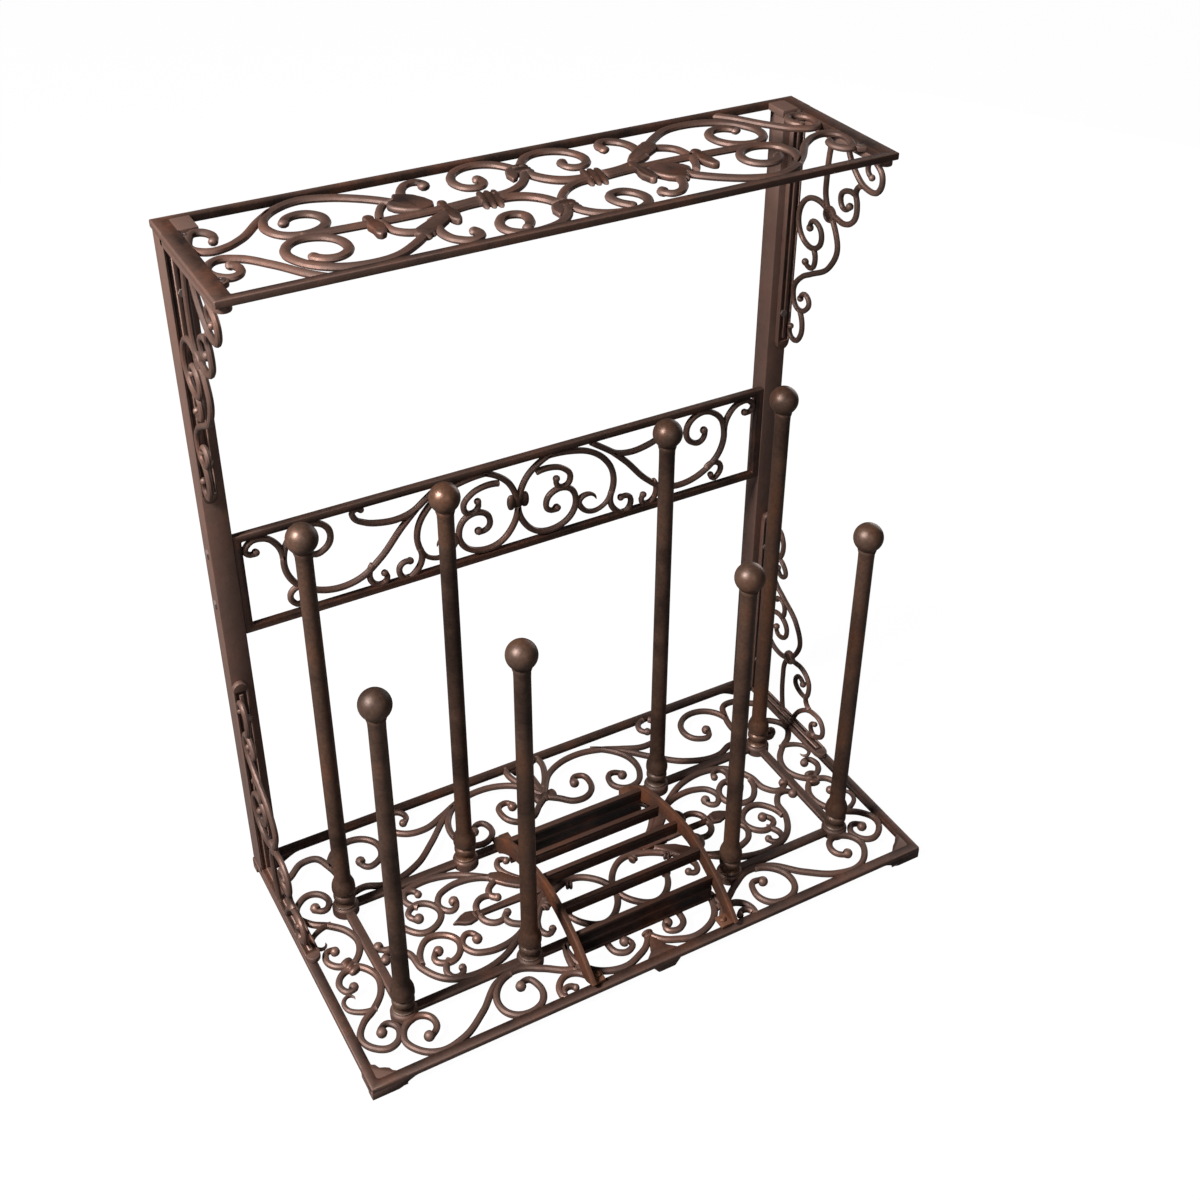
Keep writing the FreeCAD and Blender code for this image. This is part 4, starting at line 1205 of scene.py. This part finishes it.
@dataclass
class TopShelf(SubAssembly):
    """The scroll-work shelf. Most of its ornament is the same after half a turn about its middle."""

    half: float = RACK.half_width
    front: float = -4
    back: float = RACK.half_depth
    end: float = 15
    rail: float = 7.5
    rod: float = 7.2
    thick_rod: float = 8.6
    rod_inset: float = 0.1  # from each face to the rods
    low: float = RACK.shelf_low
    top: float = 704

    HALF_TURN = Mirror(x=0, y=77)
    SCROLLS = (
        Scroll(((-212, 134), (-225, 121), (-249, 94), (-262, 86), (-275, 84), (-285, 92), (-284, 110),
                (-274, 123), (-265, 114), (-267, 102)), TUCKED, BLUNT),
        Scroll(((-210, -1), (-222, 12), (-242, 42), (-261, 63), (-274, 68), (-286, 57), (-284, 41),
                (-273, 34), (-265, 43), (-269, 55)), TUCKED, BLUNT),
        Scroll(((-129, 104), (-138, 89), (-142, 70), (-138, 53), (-122, 44)), TUCKED, TUCKED),
    )
    THICK = (
        Scroll(((-119, 106), (-141, 127), (-163, 140), (-183, 145), (-203, 139), (-221, 122),
                (-225, 103), (-215, 85), (-195, 82), (-180, 94), (-181, 111), (-195, 119),
                (-209, 109)), TUCKED, BLUNT),
        Scroll(((-116, 44), (-136, 24), (-155, 12), (-177, 9), (-203, 16), (-223, 37), (-227, 53),
                (-213, 73), (-192, 70), (-181, 53), (-185, 36), (-199, 31), (-210, 40)),
               TUCKED, BLUNT),
        Scroll(((-108, 57), (-98, 63), (-87, 68), (-57, 73)), TUCKED, TUCKED),
        Scroll(((-109, 108), (-107, 119), (-102, 129), (-94, 136), (-86, 136), (-83, 128)), TUCKED, ball=5.4),
        Scroll(((-94, 63), (-105, 50), (-109, 34), (-103, 17), (-91, 11), (-85, 26)), TUCKED, BLUNT),
        Scroll(((-43, 80), (-23, 84), (-10, 94), (0, 112)), TUCKED, TUCKED),
        Scroll(((-43, 73), (-25, 71), (-11, 60), (-3, 42)), TUCKED, TUCKED, width=9.6),
        Scroll(((-206, 79), (-150, 76), (-96, 76), (-56, 80)), TUCKED, TUCKED),
    )
    CURLS = (
        Scroll(((-2, 120), (-8, 133), (-18, 143), (-33, 147), (-48, 142), (-58, 130), (-60, 116),
                (-54, 105), (-44, 103), (-38, 109), (-39, 118)), TUCKED, ball=5.0),
        Scroll(((-2, 36), (-7, 21), (-17, 10), (-33, 4), (-51, 4), (-63, 15), (-61, 32), (-49, 41),
                (-39, 36), (-39, 24), (-46, 13)), TUCKED, BLUNT),
    )
    LEAF = ((-128, 98), (-125, 105), (-120, 107), (-118, 112), (-115, 119), (-111, 115), (-106, 114),
            (-100, 109), (-94, 99), (-91, 90), (-94, 82), (-107, 78), (-118, 84), (-125, 91))
    LOW_LEAF = ((-129, 40), (-127, 47), (-118, 53), (-106, 61), (-95, 69), (-88, 68), (-88, 60),
                (-95, 51), (-104, 43), (-113, 36), (-121, 31), (-127, 34))
    BOW = ((-154.5, 83), (-153, 87), (-149.5, 88.5), (-146, 87), (-144.5, 83), (-146, 78), (-144, 73),
           (-142, 67), (-144, 58), (-147, 51), (-152, 49), (-155, 53), (-154.5, 62), (-156, 70),
           (-153, 77), (-154, 80))
    KNOT = ((-91, 84), (-89.5, 87.5), (-86, 88), (-83, 85.5), (-83, 82), (-84.5, 77), (-84, 71),
            (-82.5, 66), (-82, 59), (-83.5, 54), (-84.5, 49), (-87, 46.5), (-90.5, 47), (-92.5, 51),
            (-93.5, 56), (-94.5, 61), (-93.5, 66), (-91.5, 71), (-91, 77), (-92, 80))
    LOBES = (((-5, 126), (-12, 123), (-16, 112), (-15, 101), (-10, 103), (-4, 112)),
             ((-5, 43), (-12, 40), (-16, 30), (-15, 19), (-10, 21), (-4, 29)))
    EAR = ((292, -8), (284, -7), (279.5, -4), (278, 0), (279.5, 4), (284, 7), (292, 8))
    EAR_ROWS = (118, 30)
    STRIP = ((270, 127, 0.2), (299.8, 157.8, 6.46))
    TURNED_RELIEFS = (Relief(LEAF, back=0.3, front=-0.1, bevel=2.8),
                      Relief(LOW_LEAF, back=0.3, front=-0.1, bevel=2.6))
    MIRRORED_RELIEFS = (Relief(BOW, back=0.2, front=-0.05, bevel=2.4),
                        Relief(KNOT, back=0.2, front=-0.05, bevel=2.2))
    COLLARS = (Collar((-48, 76), angle=-12, length=18, width=36, bands=3),
               Collar((0, 119), angle=90, length=17, width=21, bands=3),
               Collar((-121, 38), angle=35, length=12, width=16, bands=2))

    def build(self) -> None:
        """Builds the shelf in place."""
        depth = self.top - self.low
        parts = [Shop.border((-self.half, self.front), (self.half, self.back), self.end, self.rail,
                             depth, bevel=1.1)]
        thick = with_twins(self.THICK, self.HALF_TURN) + with_twins(self.CURLS, ACROSS_MIDDLE)
        for scrolls, width in ((with_twins(self.SCROLLS, self.HALF_TURN), self.rod),
                               (thick, self.thick_rod)):
            parts.append(Shop.rods(scrolls, width, depth - self.rod_inset, flush=True,
                                   depth=depth - 2 * self.rod_inset))
        parts += [Shop.collar(item, 0, depth) for item in with_twins(self.COLLARS, self.HALF_TURN)]
        parts += [Shop.relief(item, 0, depth) for item in self.reliefs()]
        parts += Shop.pair(Shop.box(*self.STRIP, bevel=0.5))
        self.keep(Shop.joined("shelf_casting", parts, Lie.FLOOR.at(0, 0, self.low)), "top_shelf")

    def reliefs(self) -> list[Relief]:
        """The leaves, bows and lobes, and the rounded ears of the end strips.

        Returns:
            All of them, with their twins.
        """
        ears = [Relief(tuple((x, y + row) for x, y in self.EAR), back=0.3, front=-1.1, bevel=1.0,
                       segments=2) for row in self.EAR_ROWS]
        return [*with_twins(self.TURNED_RELIEFS, self.HALF_TURN),
                *with_twins([*self.MIRRORED_RELIEFS, *ears], ACROSS_MIDDLE),
                *[Relief(lobe, back=0.8, front=-0.8, bevel=1.6) for lobe in self.LOBES]]


@dataclass
class CornerBrackets(SubAssembly):
    """Four brackets of one pattern: two under the shelf, two upside down on the base."""

    reach: float = 138  # along the shelf
    drop: float = 243  # down the upright
    strap: float = 14  # width of the two straps
    tip: float = 8  # length of a strap's rounded end
    thin: float = 6
    web: float = 5.5  # height of the rods' front over the bracket's back
    rod: float = 5.6
    outer: float = 299
    front: float = RACK.upright_front
    levels: tuple[tuple[str, float, int], ...] = (("upper", RACK.shelf_low, 1),
                                                  ("lower", RACK.base_top, -1))

    SCROLLS = (
        Scroll(((100, 4), (113, 10), (125, 20), (122, 35), (104, 38), (87, 28), (72, 4)),
               TUCKED, TUCKED),
        Scroll(((112, 10), (105, 15), (105, 22), (111, 26)), ball=3.2),
        Scroll(((99, 38), (91, 47), (94, 56), (93, 72), (78, 82), (67, 81), (56, 79)), TUCKED, TUCKED),
        Scroll(((92, 50), (82, 49), (70, 59), (76, 68), (84, 63)), ball=3.7),
        Scroll(((55, 80), (48, 66), (47, 48), (52, 4)), TUCKED, TUCKED),
        Scroll(((54, 79), (36, 74), (20, 79), (11, 91), (12, 112), (23, 122), (36, 123), (47, 111),
                (41, 98), (30, 98), (28, 105)), ball=3.7),
        Scroll(((60, 84), (68, 96), (72, 108), (62, 132), (35, 150), (22, 158), (10, 177), (18, 193),
                (32, 189), (36, 179), (28, 174), (22, 181)), ball=3.4),
        Scroll(((36, 123), (40, 132), (34, 144), (25, 141)), ball=3.6),
        Scroll(((22, 193), (28, 206), (27, 219), (19, 228), (10, 225), (10, 216)), ball=3.2),
    )
    MOULDING = ((1.6, -0.9), (3.2, 0.9))
    KNOT_PLACE = (56, 81)
    KNOT = ((7.0, 0.1), (7.9, 1.0), (8.0, 3.6), (7.2, 5.3), (5.4, 5.6), (4.6, 4.9), (3.6, 5.2), (1.6, 5.9))

    def pattern(self) -> Thing:
        """The bracket, drawn outwards and down from its corner, with its back face at zero.

        Returns:
            The bracket.
        """
        along_shelf = Matrix(((1, 0, 0, 0), (0, 0, -1, self.thin * MM), (0, 1, 0, 0), (0, 0, 0, 1)))
        down_upright = Matrix(((0, 0, 1, 0), (1, 0, 0, 0), (0, 1, 0, 0), (0, 0, 0, 1)))
        knot = Shop.turned(self.KNOT, sides=28)
        knot.data.transform(Lie.FLOOR.at(*self.KNOT_PLACE, 0))
        parts = [Shop.rods(self.SCROLLS, self.rod, self.web),
                 Shop.moulded((0, 0, 0), (self.reach - self.tip, self.thin, self.strap), (0, 1, 0),
                              self.MOULDING, bevel=0.8),
                 Shop.moulded((0, 0, 0), (self.thin, self.drop - self.tip, self.strap), (1, 0, 0),
                              self.MOULDING, bevel=0.8),
                 self.strap_end(self.reach, along_shelf), self.strap_end(self.drop, down_upright), knot]
        return Shop.joined("bracket", parts)

    def strap_end(self, length: float, lay: Matrix) -> Thing:
        """The rounded end of a strap.

        Args:
            length: Length of the whole strap.
            lay: Turns the drawn end, which points along x, into the strap's own way.

        Returns:
            The end.
        """
        half, neck = self.strap / 2, length - self.tip
        root = neck - 1.5  # a little inside the strap
        turns = [math.radians(turn) for turn in range(0, 181, 20)]
        arc = [(neck + self.tip * math.sin(turn), half - half * math.cos(turn)) for turn in turns]
        end = Shop.plate([(root, 0), *arc, (root, self.strap)], 0, self.thin, bevel=0.9)
        end.data.transform(lay)
        return end

    def build(self) -> None:
        """Stands the bracket at its four corners."""
        pattern = self.pattern()
        for level, height, way in self.levels:
            left = Lie.FLOOR.at(0, 0, height) @ Matrix.Diagonal((1, 1, way, 1))
            left = left @ Lie.HANGING.at(-self.outer, self.front, 0)
            for side, place in (("left", left), ("right", mirrored("X") @ left)):
                self.keep(Shop.twin(pattern, f"bracket_{level}_{side}", place),
                          f"{level}_bracket_{side}")
        bpy.data.objects.remove(pattern)


@dataclass
class ScraperCheeks(SubAssembly):
    """The two arched straps of the scraper, drawn from the side: y, height, and thickness."""

    gap: float = 151
    thickness: float = 5
    width: float = 17
    back: float = 61
    front: float = -RACK.half_depth

    ARCH = ((52.5, 0), (27.5, 21.75), (-32, 41.325), (-70, 43.5), (-112, 28.71), (-150.5, 0))
    EAR = ((-152.5, 0.2, -11.5), (-138.5, 4, 1))
    BLOCK = ((37.5, 0.2, -11), (51.5, 15, 0.5))
    BOLT_PLACE = (-145, 0, -6.4)
    BOLT = ((3.1, 3.8), (3.1, 5.6), (2.4, 6.4), (0.6, 6.6))

    def build(self) -> None:
        """Builds one cheek and copies it."""
        line = Scroll(self.ARCH).line()
        upper, under = [], []
        for index, point in enumerate(line):
            before, after = line[max(index - 1, 0)], line[min(index + 1, len(line) - 1)]
            way = (after - before).normalized()
            side = Vector((-way.y, way.x)) * self.width / 2
            under.append(self.held(point + side))
            upper.append(self.held(point - side))
        strap = Shop.plate(under + upper[::-1], 0, self.thickness, bevel=0.8)
        bolt = Shop.turned(self.BOLT, sides=20)
        bolt.data.transform(Lie.FLOOR.at(*self.BOLT_PLACE) @ Matrix.Rotation(math.radians(-90), 4, "X"))
        parts = [strap, Shop.box(*self.EAR, bevel=0.8), bolt, Shop.box(*self.BLOCK, bevel=1.0)]
        cheek = Shop.joined("cheek_right", parts, Lie.ACROSS.at(self.gap / 2, 0, RACK.base_top))
        self.keep(cheek, "scraper_cheek_right")
        self.keep(Shop.twin(cheek, "cheek_left", mirrored("X")), "scraper_cheek_left")

    def held(self, point: Vector) -> Point:
        """Keeps a point of the outline above the base and between the cheek's two ends."""
        return (min(max(point.x, self.front), self.back), max(point.y, 0))


@dataclass
class ScraperBars(SubAssembly):
    """The blades and end plates between the cheeks."""

    half: float = ScraperCheeks.gap / 2

    PLATE = ((0, 0), (0, 3.2), (0.9, 4.2), (0.9, 12.4), (0.2, 13.4), (0.2, 16.6), (0.9, 17.6),
             (0.9, 26.2), (0, 27.2), (0, 31), (5, 31), (5, 0))
    BLADE = ((0.6, 0), (0, 2), (0, 10), (0.7, 10.8), (0.7, 11.8), (0, 12.6), (0, 14), (5, 14), (4.4, 0))
    BARS = (("scraper_rear_plate", 23, RACK.base_top, PLATE), ("scraper_blade_1", -12, 38.2, BLADE),
            ("scraper_blade_2", -48, 46.2, BLADE), ("scraper_blade_3", -91, 47.2, BLADE),
            ("scraper_front_plate", -115, RACK.base_top, PLATE))

    def build(self) -> None:
        """Draws the section of each bar, with its lengthwise grooves, along the bar."""
        for node, y, low, section in self.BARS:
            bar = Shop.plate(section, -self.half, self.half, bevel=0.5)
            self.keep(Shop.joined(f"{node}_grooved", [bar], Lie.ACROSS.at(0, y, low)), node)


@dataclass
class Fasteners(SubAssembly):
    """The shelf's screw heads, and the finish of the nuts, bolts and screws of the frame."""

    screw_x: float = 285
    sunk: float = 1  # from the shelf's face down to the heads' drawn origin

    HEAD = ((4.2, -1.3), (4.2, 0.2), (3.4, 0.75), (1.9, 0.9), (1.5, 0.2), (0.4, 0.1))
    PLAIN_NODES = ("post_nuts", "panel_bolts_left", "panel_bolts_right", "bracket_screws")

    def build(self) -> None:
        """Builds the dished screw heads in the shelf's ears."""
        places = [(way * self.screw_x, y, TopShelf.top - self.sunk)
                  for way in (1, -1) for y in TopShelf.EAR_ROWS]
        self.keep(Shop.joined("shelf_screws", Shop.spread(Shop.turned(self.HEAD, sides=24), places)))

    def dress(self) -> None:
        """Gives the heads and the construction nodes their finish."""
        super().dress()
        for node in self.PLAIN_NODES:
            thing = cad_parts[node]
            thing.data.materials.clear()
            thing.data.materials.append(self.finish.iron.material())


# ---------------------------------------------------------------- studio
@dataclass
class Studio:
    """Camera, floor and light.

    Attributes:
        place: Camera place, mm.
        turn: Camera rotation, degrees.
        lens: Focal length for a 36 mm wide sensor, mm.
        shift: Sensor shift, in sensor widths.
        floor_side: Side of the floor, mm.
        floor_colour: Colour of the floor as a surface.
        floor_glow: Strength of the white that only the camera sees in the floor.
        glow_share: Share of that white.
        sky_light: Strength of the sky as a light.
        sky_seen: Strength of the sky that the camera sees.
        aim: What the lamps point at, mm.
        lamps: Name, place in mm, power in watts and side in mm of each lamp.
    """

    place: Corner = (-557.1, -1017.84, 1205.78)
    turn: Corner = (56.18, -0.537, -29.398)
    lens: float = 48.057
    shift: Point = (-0.01086, -0.07243)
    floor_side: float = 12000
    floor_colour: str = "#5c5c5c"
    floor_glow: float = 1.48
    glow_share: float = 0.66
    sky_light: float = 0.055
    sky_seen: float = 1.05
    aim: Corner = (0, 0, 300)
    lamps: tuple[tuple[str, Corner, float, float], ...] = (
        ("key", (-1800, -150, 2000), 138, 600), ("fill", (-400, -2600, 1600), 10, 1200),
        ("rear", (2000, 1100, 600), 13, 1200))

    def build(self) -> None:
        """Sets up the view, the floor and the light."""
        self.camera()
        self.floor()
        self.sky()
        self.light()
        bpy.context.scene.view_settings.view_transform = "Standard"

    def camera(self) -> None:
        """Places the camera."""
        data = bpy.data.cameras.new("camera")
        data.sensor_width, data.lens = 36, self.lens
        data.shift_x, data.shift_y = self.shift
        camera = bpy.data.objects.new("camera", data)
        camera.location = Vector(self.place) * MM
        camera.rotation_euler = [math.radians(angle) for angle in self.turn]
        bpy.context.collection.objects.link(camera)
        bpy.context.scene.camera = camera

    def floor(self) -> None:
        """A plain floor, which lightens its own shadow for the camera."""
        bpy.ops.mesh.primitive_plane_add(size=self.floor_side * MM)
        floor = bpy.context.object
        floor.name = "floor"
        paint = bpy.data.materials.new("white_backdrop_paint")
        paint.use_nodes = True
        tree = paint.node_tree
        tree.nodes.clear()
        shader = add_node(tree, "ShaderNodeBsdfPrincipled", {
            "Base Color": linear(self.floor_colour), "Roughness": 0.9})
        glow = add_node(tree, "ShaderNodeEmission", {"Strength": self.floor_glow})
        seen = add_node(tree, "ShaderNodeLightPath")
        share = add_node(tree, "ShaderNodeMath", {0: seen.outputs["Is Camera Ray"], 1: self.glow_share},
                         operation="MULTIPLY")
        mixed = add_node(tree, "ShaderNodeMixShader", {
            0: share.outputs[0], 1: shader.outputs[0], 2: glow.outputs[0]})
        add_node(tree, "ShaderNodeOutputMaterial", {"Surface": mixed.outputs[0]})
        floor.data.materials.append(paint)

    def sky(self) -> None:
        """A pale sky, which the camera sees white."""
        world = bpy.data.worlds.new("pale_sky")
        world.use_nodes = True
        bpy.context.scene.world = world
        tree = world.node_tree
        tree.nodes.clear()
        seen = add_node(tree, "ShaderNodeLightPath")
        level = add_node(tree, "ShaderNodeMapRange", {
            "Value": seen.outputs["Is Camera Ray"], "To Min": self.sky_light, "To Max": self.sky_seen})
        glow = add_node(tree, "ShaderNodeBackground", {
            "Color": (1, 1, 1, 1), "Strength": level.outputs["Result"]})
        add_node(tree, "ShaderNodeOutputWorld", {"Surface": glow.outputs["Background"]})

    def light(self) -> None:
        """Hangs the soft lamps and points them at the rack."""
        for name, place, power, side in self.lamps:
            lamp = bpy.data.lights.new(name, "AREA")
            lamp.energy, lamp.size = power, side * MM
            thing = bpy.data.objects.new(name, lamp)
            thing.location = Vector(place) * MM
            way = Vector(self.aim) * MM - thing.location
            thing.rotation_euler = way.to_track_quat("-Z", "Y").to_euler()
            bpy.context.collection.objects.link(thing)


def main() -> None:
    """Builds and dresses the rack."""
    parts = [BaseCasting(Finishes.CASTING), BootPosts(Finishes.POST), Uprights(Finishes.CASTING),
             BackPanel(Finishes.CASTING), TopShelf(Finishes.CASTING), CornerBrackets(Finishes.CASTING),
             ScraperCheeks(Finishes.ORANGE), ScraperBars(Finishes.DARK), Fasteners(Finishes.FASTENER)]
    for part in parts:
        part.build()
        part.dress()
    Studio().build()


if __name__ == "__main__":
    main()
